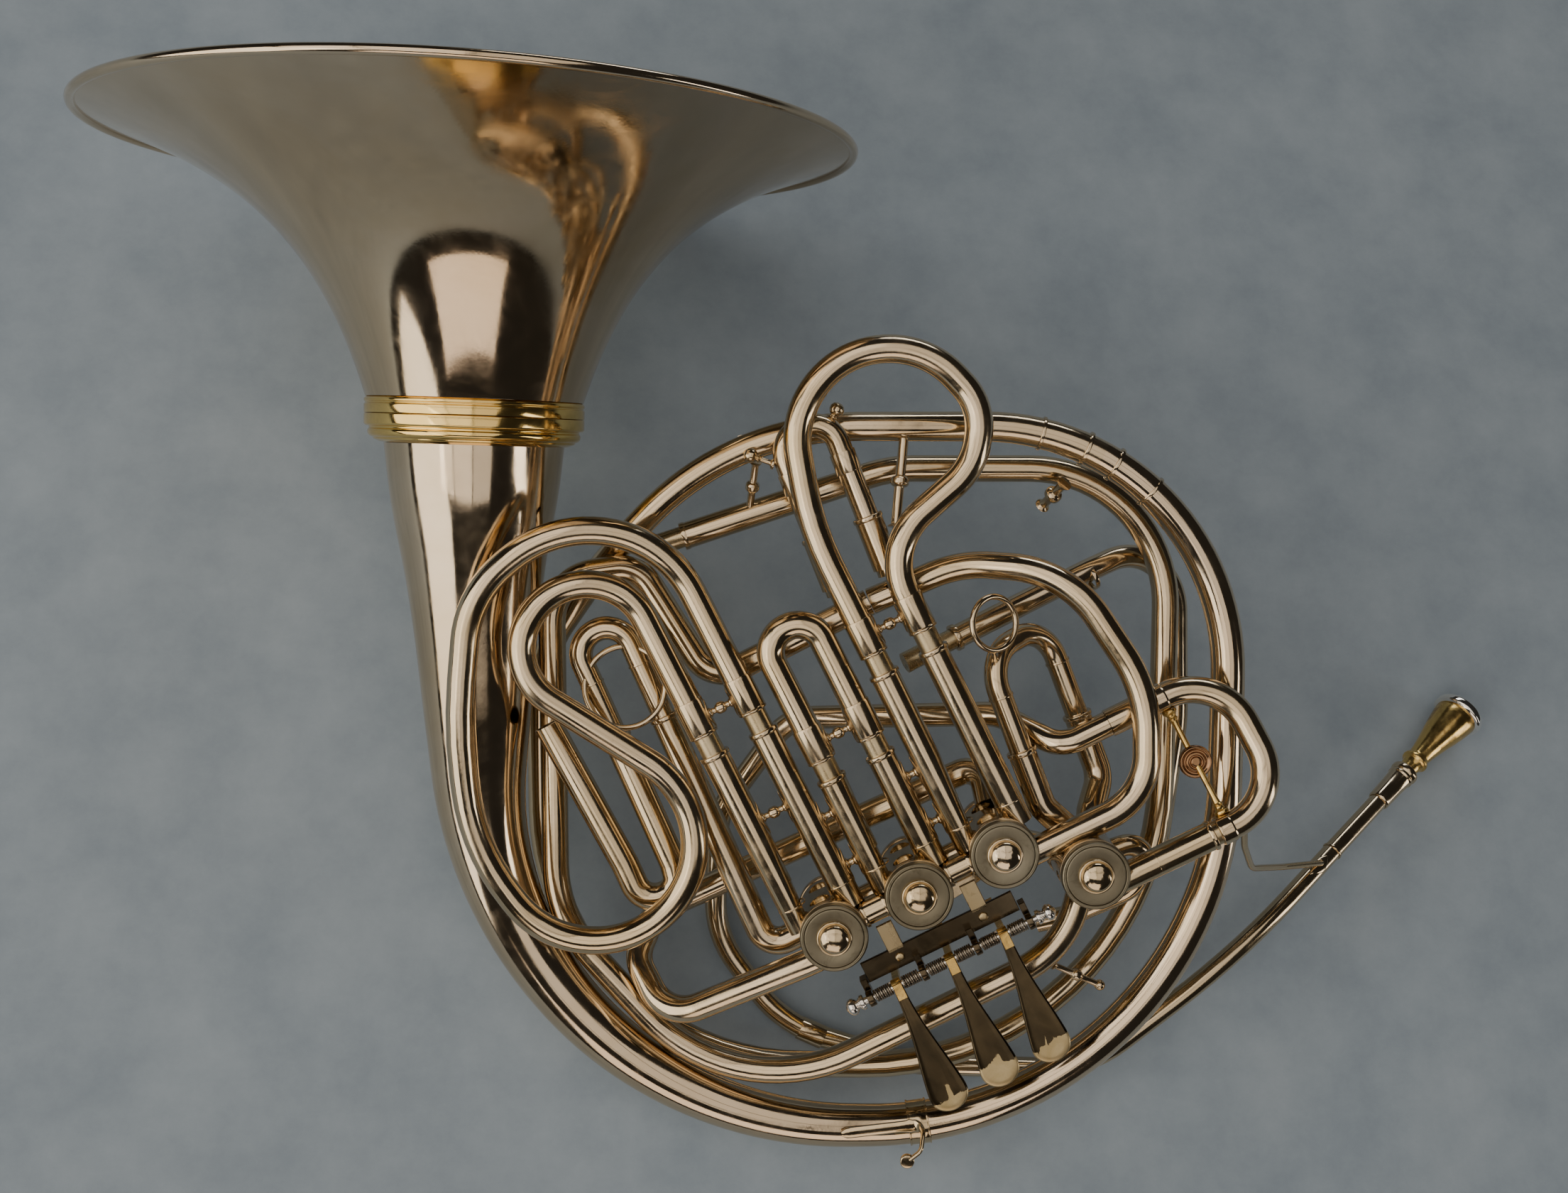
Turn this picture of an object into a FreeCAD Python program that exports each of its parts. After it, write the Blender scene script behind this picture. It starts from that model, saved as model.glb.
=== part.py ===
import FreeCAD, Part
import math
import os

# Double french horn, millimetres.
# Working frame: the coil lies in the XY plane, +Y runs up the bell axis, +Z comes out on the
# lever side.  The last step tips the whole horn onto the table (see WORLD at the end).

V = FreeCAD.Vector

# ---------------------------------------------------------------- driving dimensions
BELL_RADIUS = 155.0          # rim of the bell
BELL_SCALE = 45.0            # flare law r = R * (1 + s / scale) ** -power
BELL_POWER = 1.02
BELL_WALL = 0.8
BELL_LENGTH = 106.0          # rim to ring
BELL_LEAN = 2.0              # degrees clockwise from +Y
RIM_CENTRE = V(-126, 189, 0)
RING_RADIUS = 45.6

BOW_R = 5.4                  # ordinary bow tube, outer radius
BORE_R = 4.8
STOCKING_R = 5.0             # inner slide tube
STOCKING_BORE = 4.5
SLEEVE_R = 5.75              # outer slide tube
SLEEVE_BORE = 5.05           # running fit on the stocking
FERRULE_R = 5.9

F_STOREY = 28.0              # height of the F tubes above the coil plane
BB_STOREY = 9.0              # height of the B flat tubes
CASING_R = 13.6
CASING_BORE = 11.9
CASING_LOW = -4.0
CASING_TOP = 38.0
ROTOR_R = 11.85
VALVE_1 = V(20.5, -136, 0)
VALVE_STEP = 38.7
ROW = V(0.8944, 0.4472, 0)   # direction of the valve row
LEG = V(-0.4472, 0.8944, 0)  # direction the F slides pull
VALVE_4 = V(127, -110, 0)
PORT = 11.2                  # slide legs sit this far either side of the valve centre

PIPE_DIR = V(0.722, 0.540, -0.432)   # leadpipe axis towards the mouthpiece
PIPE_FOOT = V(211, -171, -44)        # where the leadpipe comes out from under the body

valves = [VALVE_1 + ROW * (VALVE_STEP * k) for k in range(3)] + [VALVE_4]


# ---------------------------------------------------------------- helpers
def unit(v):
    return V(v) * (1.0 / v.Length)


def rounded(points, bends):
    """Edges of straight runs joined by tangent arcs at the inner points."""
    count = len(points)
    if not isinstance(bends, (list, tuple)):
        bends = [bends] * (count - 2)
    edges = []
    here = points[0]
    for i in range(1, count - 1):
        into = unit(points[i] - points[i - 1])
        out = unit(points[i + 1] - points[i])
        turn = into.getAngle(out)
        span = (points[i + 1] - points[i]).Length
        room_after = span * (0.98 if i == count - 2 else 0.5)
        room_before = (points[i] - here).Length * 0.98
        trim = min(bends[i - 1] * math.tan(turn / 2), room_before, room_after)
        radius = trim / math.tan(turn / 2)
        start = points[i] - into * trim
        end = points[i] + out * trim
        bisector = unit(out - into)
        middle = points[i] + bisector * (radius / math.cos(turn / 2) - radius)
        if (start - here).Length > 0.01:
            edges.append(Part.makeLine(here, start))
        edges.append(Part.Arc(start, middle, end).toShape())
        here = end
    edges.append(Part.makeLine(here, points[-1]))
    return edges


def tube(points, bends=20, outer=BOW_R, inner=BORE_R, fittings=()):
    """Hollow round tube along a rounded path, bored after its outside fittings are joined on."""
    wire = Part.Wire(rounded(points, bends))
    start = points[0]
    axis = unit(points[1] - points[0])
    solids = []
    for radius in (outer, inner):
        disc = Part.Face(Part.Wire(Part.makeCircle(radius, start, axis)))
        solids.append(wire.makePipe(disc))
    for fitting in fittings:
        solids[0] = solids[0].fuse(fitting)
    return solids[0].cut(solids[1])


def rod(points, bends=5, radius=1.2):
    """Solid round wire along a rounded path."""
    wire = Part.Wire(rounded(points, bends))
    face = Part.Face(Part.Wire(Part.makeCircle(radius, points[0], unit(points[1] - points[0]))))
    return wire.makePipe(face)


def pipe(start, end, outer, inner=0.0):
    """Straight pipe, or a bar when there is no bore."""
    axis = end - start
    body = Part.makeCylinder(outer, axis.Length, start, axis)
    if inner > 0:
        body = body.cut(Part.makeCylinder(inner, axis.Length, start, axis))
    return body


def turned(start, axis, profile):
    """Body of revolution: profile is a closed list of (distance, radius) along the axis."""
    points = [V(r, 0, d) for d, r in profile]
    face = Part.Face(Part.makePolygon(points + [points[0]]))
    body = face.revolve(V(0, 0, 0), V(0, 0, 1), 360)
    body.Placement = FreeCAD.Placement(start, FreeCAD.Rotation(V(0, 0, 1), axis))
    return body


def along(edges, distance):
    """Point and direction at a distance along a list of edges."""
    for edge in edges:
        if distance <= edge.Length or edge is edges[-1]:
            p = edge.getParameterByLength(min(distance, edge.Length))
            return edge.valueAt(p), edge.tangentAt(p)
        distance -= edge.Length


def radius_at(table, distance):
    """Linear reading of a (distance, radius) table."""
    for (d0, r0), (d1, r1) in zip(table, table[1:]):
        if distance <= d1:
            return r0 + (r1 - r0) * (distance - d0) / (d1 - d0)
    return table[-1][1]


def tapered(edges, table, first, last, wall, step=22.0):
    """Tapering tube between two distances along a path."""
    count = max(3, int((last - first) / step) + 1)
    shells = []
    for shrink in (0.0, wall):
        rings = []
        for k in range(count):
            distance = first + (last - first) * k / (count - 1)
            centre, direction = along(edges, distance)
            radius = radius_at(table, distance) - shrink
            ring = Part.Wire(Part.makeCircle(radius))
            side = unit(direction.cross(V(0, 0, 1)))
            turn = FreeCAD.Rotation(side, side.cross(direction) * -1, direction, "ZXY")
            ring.Placement = FreeCAD.Placement(centre, turn)
            rings.append(ring)
        shells.append(Part.makeLoft(rings, True))
    return shells[0].cut(shells[1])


def group(*shapes):
    solids = []
    for shape in shapes:
        solids.extend(shape.Solids)
    return Part.makeCompound(solids)


def at_valve(valve, a, b, z):
    """Point a along the slide direction and b along the valve row from a valve centre."""
    return valve + LEG * a + ROW * b + V(0, 0, z)


nodes = {}

# ---------------------------------------------------------------- bell
bell_axis = V(math.sin(math.radians(BELL_LEAN)), math.cos(math.radians(BELL_LEAN)), 0)
bell_turn = FreeCAD.Placement(RIM_CENTRE, FreeCAD.Rotation(V(0, 0, 1), bell_axis))


def flare(s):
    return BELL_RADIUS * (1 + s / BELL_SCALE) ** -BELL_POWER


def bell_revolve(profile):
    """Revolve a face drawn in (radius, distance below the rim) about the bell axis."""
    body = profile.revolve(V(0, 0, 0), V(0, 0, 1), 360)
    body.Placement = bell_turn
    return body


outside = []
inside = []
for s in (0, 3, 7, 12, 18, 26, 36, 48, 62, 76, 90, BELL_LENGTH):
    slope = -BELL_POWER * flare(s) / (BELL_SCALE + s)
    length = math.hypot(1, slope)
    outside.append(V(flare(s), 0, -s))
    inside.append(V(flare(s) - BELL_WALL / length, 0, -s - slope * BELL_WALL / length))
inside[-1] = V(flare(BELL_LENGTH) - BELL_WALL, 0, -BELL_LENGTH)
outer_curve = Part.BSplineCurve()
outer_curve.interpolate(outside)
inner_curve = Part.BSplineCurve()
inner_curve.interpolate(inside)
flare_face = Part.Face(Part.Wire([outer_curve.toShape(), Part.makeLine(outside[-1], inside[-1]),
                                  inner_curve.toShape(), Part.makeLine(inside[0], outside[0])]))
rim_torus = Part.makeTorus(BELL_RADIUS - 0.2, 1.9)
rim_torus.Placement = bell_turn
wire_section = Part.Face(Part.Wire(Part.makeCircle(1.95, V(BELL_RADIUS - 0.2, 0, 0), V(0, 1, 0))))
nodes["bell_flare"] = bell_revolve(flare_face.cut(wire_section).Faces[0])
nodes["bell_rim_wire"] = rim_torus


def bell_ring(profile):
    points = [V(r, 0, -s) for s, r in profile]
    return bell_revolve(Part.Face(Part.makePolygon(points + [points[0]])))


nodes["bell_ring"] = bell_ring([(106.02, 44.8), (106.02, 42.1), (112.8, 42.1),
                                (112.8, RING_RADIUS), (106.6, RING_RADIUS)])
nodes["body_ring"] = bell_ring([(107.0, 40.4), (107.0, 42.04), (112.85, 42.04),
                                (112.85, RING_RADIUS), (118.3, RING_RADIUS), (118.3, 43.4),
                                (119.0, 43.9), (121.5, 43.9), (123.4, 42.2), (124.0, 40.0),
                                (124.6, 38.6), (124.6, 36.8), (118.0, 40.4)])

# ---------------------------------------------------------------- body: one big turn of taper
tail_start = RIM_CENTRE - bell_axis * 124.6
body_path = rounded([tail_start, V(-131.3, 30, 0), V(-131.5, -234, 0), V(190, -234, 0),
                     V(190, 72, 0), V(-22, 72, 0), V(-66, 26, 0)],
                    [600, 161, 159, 147, 125])
BODY_TAPER = [(0, 37.5), (23, 34.8), (53, 29.5), (83, 25.7), (114, 22.8), (145, 19.8),
              (175, 17.2), (205, 15.0), (234, 13.4), (262, 12.4), (298, 11.2), (331, 10.3),
              (391, 9.2), (457, 8.5), (538, 7.9), (641, 7.3), (760, 6.9), (872, 6.3),
              (1200, 5.5)]
body_length = sum(edge.Length for edge in body_path)
TAIL_END = 420.0
BOW_END = 800.0
nodes["bell_tail"] = tapered(body_path, BODY_TAPER, 0, TAIL_END, 0.7)
nodes["body_bow"] = tapered(body_path, BODY_TAPER, TAIL_END, BOW_END, 0.6)
nodes["body_top_branch"] = tapered(body_path, BODY_TAPER, BOW_END, body_length, 0.6)


def body_ferrule(distance, length):
    """Band soldered over a joint of the body tube."""
    radius = radius_at(BODY_TAPER, distance)
    lo = along(body_path, distance - length / 2)[0]
    hi = along(body_path, distance + length / 2)[0]
    return pipe(lo, hi, radius + 1.05, radius + 0.5)


nodes["body_ferrules"] = group(body_ferrule(TAIL_END, 9), body_ferrule(BOW_END - 7, 1.6),
                               body_ferrule(BOW_END + 7, 1.6))

# guard plate on the outside of the top branch, following the tube
plate_mid = along(body_path, 940)[0]
plate_dir = along(body_path, 940)[1]
plate_out = V(0, 0, 1).cross(plate_dir) * -1
plate = Part.makeCylinder(7.1, 30, plate_mid - plate_dir * 15, plate_dir)
plate = plate.cut(Part.makeCylinder(6.35, 30, plate_mid - plate_dir * 15, plate_dir))
plate_box = Part.makeBox(30, 30, 9)
plate_box.Placement = FreeCAD.Placement(plate_mid - plate_dir * 15 - V(0, 0, 4.5) + plate_out * 3,
                                        FreeCAD.Rotation(plate_dir, plate_out, V(0, 0, 1), "XYZ"))
nodes["guard_plate"] = plate.common(plate_box)

# ---------------------------------------------------------------- second turn, behind the first
second_turn = tube([V(-66.4, 25.6, -0.1), V(-79, 12, -14), V(-109, -30, -27), V(-109, -216, -27),
                    V(167, -216, -20), V(167, 54, -18), V(46, 54, -18), V(-44, 24.6, -14.3)],
                   [20, 60, 118, 132, 118, 60], 5.4, 4.8)
nodes["second_turn"] = second_turn
end_way = unit(V(-90, -29.4, 3.7))
nodes["second_turn_stub"] = pipe(V(-44, 24.6, -14.3) - end_way * 8, V(-44, 24.6, -14.3) + end_way * 13,
                                 4.65)

# branch out of the fourth valve, round the left and over the top to the inner loop
branch = tube([VALVE_4 + V(1.5, -8, BB_STOREY), V(120.5, -151.6, 9), V(-21, -225, 4),
               V(-99, -140, 0), V(-99, 8, 0), V(-62, 13, 1), V(-31, -36, 3), V(36, -2, 4)],
              [45, 75, 60, 22, 14, 14])
nodes["fourth_valve_branch"] = branch

inner_loop = tube([V(36.7, -1.65, 4), V(74, 15, 8), V(116, 13, 24), V(149, -36, F_STOREY),
                   V(150, -80.5, F_STOREY), at_valve(valves[2], -8, 6, F_STOREY)],
                  [50, 45, 60, 28])
nodes["inner_loop"] = inner_loop

# crook from the first valve round to the long tube behind the slides
crook = tube([at_valve(VALVE_1, -8.6, -5, F_STOREY), at_valve(VALVE_1, -8.6, -16, F_STOREY),
              V(-50, -179, 18), V(-64.5, -158, 0), V(-57, -141, -12), V(85, -73.5, -6),
              V(88.6, -94, 8)],
             [60, 20, 16, 14, 8])
nodes["first_valve_crook"] = crook

# small bend hugging the fourth valve
nodes["fourth_valve_return"] = tube([at_valve(VALVE_4, -4, 8, 6), V(157, -103, 5),
                                     V(153, -127, -2), V(126, -142, -9), V(112, -146, -12)],
                                    [12, 14, 10], 4.6, 4.1)

# tapering branch behind the inner loop, down the right side
nodes["back_branch"] = tube([V(73, -19, -7), V(133, 9, -22), V(176, 26, -40), V(178, -60, -38),
                             V(168, -120, -30)], [60, 26, 60], 5.2, 4.7)
branch_way = unit(V(60, 28, -15))
nodes["back_branch_stub"] = pipe(V(73, -19, -7) - branch_way * 24, V(73, -19, -7) + branch_way * 8, 4.55)

# ---------------------------------------------------------------- leadpipe
pipe_end = PIPE_FOOT + PIPE_DIR * 114
lead_path = rounded([pipe_end, PIPE_FOOT, V(140, -224, -38), V(60, -222, -38), V(0, -203, -38),
                     V(-32, -160, -38), V(-30, -103, -38), V(2, -58, -32), V(92, -51, -3),
                     at_valve(VALVE_4, 47.5, 12, 14), at_valve(VALVE_4, 47.5, 34, 14)],
                    [200, 60, 70, 60, 50, 30, 24, 24, 14])
lead_length = sum(edge.Length for edge in lead_path)
LEAD_SPLIT = 330.0
nodes["leadpipe"] = tapered(lead_path, [(0, 4.3), (200, 4.6), (LEAD_SPLIT, 4.9)], 0, LEAD_SPLIT,
                            0.5)
nodes["leadpipe_return"] = tapered(lead_path, [(LEAD_SPLIT, 4.9), (lead_length, 5.4)],
                                   LEAD_SPLIT, lead_length, 0.55)
nodes["mouthpiece_receiver"] = turned(pipe_end - PIPE_DIR * 2, PIPE_DIR, [
    (0, 4.45), (0, 5.0), (1, 5.5), (20, 5.9), (21, 6.6), (24, 6.6), (24, 4.5), (2.05, 3.7),
    (2.05, 4.45)])

CUP_START = pipe_end + PIPE_DIR * 4
nodes["mouthpiece_cup"] = turned(CUP_START, PIPE_DIR, [
    (0, 2.4), (0, 3.55), (18.0, 4.2), (24, 5.0), (25, 6.4), (27, 6.4), (28, 5.2), (33, 5.6),
    (44, 7.6), (54, 9.6), (60, 10.4), (61.5, 10.6), (61.5, 8.9), (52, 7.4), (40, 3.4),
    (32, 2.2)])
nodes["mouthpiece_rim"] = turned(CUP_START + PIPE_DIR * 61.55, PIPE_DIR, [
    (0, 8.9), (0, 11.4), (1.2, 12.5), (3.2, 12.5), (4.6, 11.8), (5.2, 10.6), (5.0, 9.4),
    (3.5, 8.7)])


# ---------------------------------------------------------------- rotary valves
def casing_cylinder(valve, radius=CASING_R):
    return Part.makeCylinder(radius, CASING_TOP - CASING_LOW, valve + V(0, 0, CASING_LOW))


casing_blanks = [casing_cylinder(valve) for valve in valves]


def trim_to_casings(shape):
    for blank in casing_blanks:
        shape = shape.cut(blank)
    return shape


def ports(valve):
    """Bores through the casing wall at both storeys."""
    bores = []
    for z in (F_STOREY, BB_STOREY):
        for way in (-1, 1):
            start = valve + V(0, 0, z)
            bores.append(Part.makeCylinder(4.6, 16, start, ROW * way))
        bores.append(Part.makeCylinder(4.6, 16, valve + V(0, 0, z), LEG))
    return bores


for index, valve in enumerate(valves):
    body = casing_blanks[index].cut(casing_cylinder(valve, CASING_BORE))
    for bore in ports(valve):
        body = body.cut(bore)
    nodes["valve_casing_%d" % (index + 1)] = body

for name in ("fourth_valve_branch", "inner_loop", "first_valve_crook", "fourth_valve_return"):
    nodes[name] = trim_to_casings(nodes[name])

caps = []
plates = []
for valve in valves:
    caps.append(turned(valve + V(0, 0, CASING_TOP), V(0, 0, 1), [
        (0.05, 0), (0.05, 14.1), (3.6, 14.1), (4.4, 13.4), (4.4, 7.4), (5.2, 6.8), (5.2, 6.3),
        (6.6, 5.6), (7.8, 4.0), (8.4, 2.0), (8.6, 0)]))
    plates.append(turned(valve + V(0, 0, CASING_LOW), V(0, 0, -1), [
        (0.05, 2.6), (0.05, 13.4), (3.0, 13.4), (3.6, 12.8), (3.6, 6.0), (6.5, 5.4), (6.5, 2.6)]))
nodes["valve_caps"] = group(*caps)
nodes["bearing_plates"] = group(*plates)

for index, valve in enumerate(valves):
    low = valve + V(0, 0, CASING_LOW + 0.1)
    rotor = Part.makeCylinder(ROTOR_R, CASING_TOP - CASING_LOW - 0.2, low)
    for z in (F_STOREY, BB_STOREY):
        for way in (-1, 1):
            start = valve + LEG * (6.0 * way) - ROW * 14 + V(0, 0, z)
            rotor = rotor.cut(Part.makeCylinder(4.3, 28, start, ROW))
    spindle = Part.makeCylinder(2.5, 14.1, valve + V(0, 0, CASING_LOW - 13.9))
    rotor = rotor.fuse(spindle)
    nodes["rotor_%d" % (index + 1)] = rotor

# stop arms under the bearing plates, pointing at the levers
for index, valve in enumerate(valves):
    top = CASING_LOW - 7.0
    hub = Part.makeCylinder(5.0, 4.0, valve + V(0, 0, top - 4.0))
    arm = Part.makeBox(11, 4, 3)
    arm.Placement = FreeCAD.Placement(valve + V(0, 0, top - 3.5) - LEG * 3 - ROW * 2,
                                      FreeCAD.Rotation(LEG * -1, ROW, V(0, 0, 1), "XYZ"))
    knob = Part.makeCylinder(1.4, 6.0, valve - LEG * 12.0 + V(0, 0, top - 6.0))
    stop = hub.fuse(arm).fuse(knob)
    stop = stop.cut(Part.makeCylinder(2.55, 40, valve + V(0, 0, top - 20)))
    nodes["rotor_%d" % (index + 1)] = group(nodes["rotor_%d" % (index + 1)], stop)
bumpers = []
for valve in valves:
    for angle in (-26, 110):
        reach = V(-LEG) * (10 * math.cos(math.radians(angle)))
        reach = reach + ROW * (10 * math.sin(math.radians(angle)))
        centre = valve + reach + V(0, 0, CASING_LOW - 3.7)
        bumpers.append(Part.makeCylinder(2.2, 8.0, centre - V(0, 0, 8)))
nodes["cork_bumpers"] = group(*bumpers)

# short tubes joining neighbouring casings at both storeys
knuckles = []
for first, second in ((0, 1), (1, 2)):
    for z in (F_STOREY, BB_STOREY):
        a = valves[first] + V(0, 0, z)
        b = valves[second] + V(0, 0, z)
        knuckles.append(trim_to_casings(pipe(a, b, 5.6, 4.9)))
        for valve, way in ((valves[first], 1), (valves[second], -1)):
            start = valve + ROW * (way * 12.5) + V(0, 0, z)
            band = pipe(start, start + ROW * (way * 2.6), 6.4, 5.65)
            knuckles.append(trim_to_casings(band))
low_3 = valves[2] + V(0, 0, BB_STOREY)
low_4 = valves[3] + V(0, 0, BB_STOREY)
knuckles.append(trim_to_casings(pipe(low_3, low_4, 5.6, 4.9)))
nodes["valve_knuckles"] = group(*knuckles)


# ---------------------------------------------------------------- slides
def ring_band(centre, axis, width=2.2, outer=6.5, inner=5.8):
    start = centre - axis * width
    return pipe(start, centre, outer, inner)


def ferrule(start, axis, length):
    """Stepped sleeve joining a stocking to the larger crook tube."""
    return turned(start, axis, [(0, STOCKING_R + 0.02), (0, FERRULE_R), (length, FERRULE_R),
                                (length, BOW_R + 0.02), (6.1, BOW_R + 0.02),
                                (6.1, STOCKING_R + 0.02)])


def flanged_bar(p, q, radius=1.3):
    """Round stay with a small turned collar at the middle."""
    axis = unit(q - p)
    middle = (p + q) * 0.5
    bar = pipe(p, q, radius)
    ball = Part.makeSphere(radius * 1.9, middle)
    return bar.fuse(ball)


PULL = LEG                                   # F slides pull this way
f_rings = [88.3, 57.9, 87.4]                 # mouth of the sleeves above each valve centre
f_depth = [62.0, 34.0, 60.0]                 # how far the stockings reach inside
sleeves = []
for index in range(3):
    valve = valves[index]
    ring = f_rings[index]
    left = tube([at_valve(valve, ring, -PORT, F_STOREY), at_valve(valve, 1.5, -PORT, F_STOREY),
                 at_valve(valve, 1.5, -4, F_STOREY)], 5.6, SLEEVE_R, SLEEVE_BORE)
    right = pipe(at_valve(valve, ring, PORT, F_STOREY), at_valve(valve, 2, PORT, F_STOREY),
                 SLEEVE_R, SLEEVE_BORE)
    for leg in (left, right):
        sleeves.append(trim_to_casings(leg))
    for b in (-PORT, PORT):
        sleeves.append(ring_band(at_valve(valve, ring, b, F_STOREY), PULL))
nodes["f_slide_sleeves"] = group(*sleeves)
nodes["valve_knuckles"] = nodes["valve_knuckles"].cut(nodes["f_slide_sleeves"])


def f_legs(index, ferrule_low, ferrule_high, stay):
    """Two stockings with their ferrules and the stay between them."""
    valve = valves[index]
    ring = f_rings[index]
    parts = []
    for b in (-PORT, PORT):
        parts.append(pipe(at_valve(valve, ring - f_depth[index], b, F_STOREY),
                          at_valve(valve, ferrule_low + 6.0, b, F_STOREY),
                          STOCKING_R, STOCKING_BORE))
        parts.append(ferrule(at_valve(valve, ferrule_low, b, F_STOREY), PULL,
                             ferrule_high - ferrule_low))
        parts.append(ring_band(at_valve(valve, ferrule_low + 1.2, b, F_STOREY), PULL, 1.2,
                               6.3, 5.95))
    parts.append(flanged_bar(at_valve(valve, stay, FERRULE_R - PORT, F_STOREY),
                             at_valve(valve, stay, PORT - FERRULE_R, F_STOREY)))
    return group(*parts)


nodes["f1_slide_legs"] = f_legs(0, 96.5, 112.5, 104)
nodes["f2_slide_legs"] = f_legs(1, 65.5, 81.5, 73)
nodes["f3_slide_legs"] = f_legs(2, 95.5, 111.5, 104)

v1, v2, v3 = valves[0], valves[1], valves[2]
nodes["f1_slide_crook"] = tube([
    at_valve(v1, 102.65, -PORT, F_STOREY), at_valve(v1, 163.3, -PORT, F_STOREY),
    V(-88, 10, 31.5), V(-107, -7, 34.5), V(-105.5, -32.5, 35), V(-39.5, -76, 30),
    V(-35, -114, 30), V(-61.5, -141.5, 30),
    V(-99.5, -139.5, 31), V(-128, -101, 33), V(-132.5, -50, 36.5), V(-126.5, 5, 39), V(-91, 34, 39),
    at_valve(v1, 173.5, PORT, F_STOREY), at_valve(v1, 102.65, PORT, F_STOREY)],
    [26, 26, 26, 26, 41, 41, 41, 41, 100, 200, 47, 47, 47])
nodes["f2_slide_crook"] = tube([
    at_valve(v2, 71.65, -PORT, F_STOREY), at_valve(v2, 121.5, -PORT, F_STOREY),
    at_valve(v2, 121.5, PORT, F_STOREY), at_valve(v2, 71.65, PORT, F_STOREY)], 11.1)
nodes["f3_slide_crook"] = tube([
    at_valve(v3, 101.65, -PORT, F_STOREY), at_valve(v3, 153.6, -PORT, F_STOREY), V(3, 76, F_STOREY),
    V(24, 102, F_STOREY), V(57.5, 103.5, F_STOREY), V(80.5, 79.5, F_STOREY), V(76.5, 55, F_STOREY),
    at_valve(v3, 133.5, PORT, F_STOREY), at_valve(v3, 101.65, PORT, F_STOREY)],
    [120, 37, 37, 37, 37, 30, 28])

# first B flat slide (left, under the big F crook)
B1 = unit(V(-0.40, 0.917, 0))
b1_left = V(-63.0, -76, BB_STOREY + 3.5)
b1_side = V(0.917, 0.40, 0)
b1_right = b1_left + b1_side * 22
b1_sleeves = [
    tube([b1_left + B1 * 20, b1_left - B1 * 40, b1_left - B1 * 51 - b1_side * 2,
          b1_left - B1 * 51 - b1_side * 19, b1_left - B1 * 32 - b1_side * 19,
          V(-99.5, -53, BB_STOREY + 3.5)], [8, 8, 9.5, 30], SLEEVE_R, SLEEVE_BORE),
    trim_to_casings(tube([b1_right + B1 * 20, at_valve(v1, 0, -30.55, BB_STOREY + 3.5),
                          at_valve(v1, 0, -6, BB_STOREY + 3.5)], 9, SLEEVE_R, SLEEVE_BORE))]
for foot in (b1_left, b1_right):
    b1_sleeves.append(ring_band(foot + B1 * 20, B1))
pull_1 = Part.makeTorus(17, 1.3)
pull_1.Placement = FreeCAD.Placement((b1_left + b1_right) * 0.5 + B1 * 38 + b1_side * 2 + V(0, 0, 5.8),
                                     FreeCAD.Rotation(V(0, 0, 1), unit(V(-0.094, 0.215, 1))))
nodes["bb1_slide"] = tube([b1_left - B1 * 8, b1_left + B1 * 64, b1_right + B1 * 64,
                           b1_right - B1 * 8], 10.9, STOCKING_R, STOCKING_BORE, [pull_1])

# third B flat slide (right, legs at two heights)
B3 = unit(V(-0.36, 0.933, 0))
b3_left = V(99.5, -63, 15.5)
b3_right = V(127, -51.5, -8)
b3_sleeves = [
    tube([b3_left, b3_left - B3 * 26, VALVE_4 + V(-2, 8, 14)], 12, SLEEVE_R, SLEEVE_BORE),
    tube([b3_right, b3_right - B3 * 30, VALVE_4 + V(5, 18, 2), VALVE_4 + V(3, 6, 8)], [12, 8],
         SLEEVE_R, SLEEVE_BORE)]
b3_sleeves = [trim_to_casings(leg) for leg in b3_sleeves]
for foot in (b3_left, b3_right):
    b3_sleeves.append(ring_band(foot, B3))
pull_3 = Part.makeTorus(11, 1.3)
pull_3.Placement = FreeCAD.Placement(V(86.5, -8.7, 24),
                                     FreeCAD.Rotation(V(0, 0, 1), unit(V(0.55, 0.1, 1))))
post_3 = pipe(V(89.5, -26.8, 12.6), V(86.5, -19.8, 25.1), 1.5)
nodes["bb3_slide"] = tube([b3_left - B3 * 24, b3_left + B3 * 42, b3_right + B3 * 42,
                           b3_right - B3 * 24], 16, STOCKING_R, STOCKING_BORE, [pull_3, post_3])

# second B flat slide (top, behind the balloon crook)
B2 = unit(V(-0.37, 0.929, 0))
b2_right = V(34.5, 35, 12)
b2_left = b2_right - V(0.929, 0.37, 0) * 23
b2_sleeves = []
for foot in (b2_left, b2_right):
    b2_sleeves.append(pipe(foot, foot - B2 * 23, SLEEVE_R, SLEEVE_BORE))
    b2_sleeves.append(ring_band(foot, B2))
nodes["bb_slide_sleeves"] = group(*b1_sleeves, *b2_sleeves, *b3_sleeves)


def pull_knob(start, axis):
    """Ball on a short turned stem."""
    return turned(start, axis, [(0, 0), (0, 2.4), (1.2, 2.4), (2.0, 1.1), (6.0, 1.1), (6.8, 1.9),
                                (7.6, 1.3), (8.2, 2.2), (9.6, 3.1), (11.4, 3.1), (12.8, 2.2),
                                (13.4, 0)])


knob_side = V(-0.929, -0.37, 0)
knob_low = pull_knob(b2_left + B2 * 34 + knob_side * 4.8, V(-0.94, 0.34, 0))
knob_way = V(0.492, 0.870, 0)
knob_top = pull_knob((b2_left + b2_right) * 0.5 + B2 * 32.6 + knob_way * 13.5, knob_way)
nodes["bb2_slide"] = tube([b2_left - B2 * 26, b2_left + B2 * 44, b2_right + B2 * 44,
                           b2_right - B2 * 26], 11.4, STOCKING_R, STOCKING_BORE,
                          [knob_low, knob_top])

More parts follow.
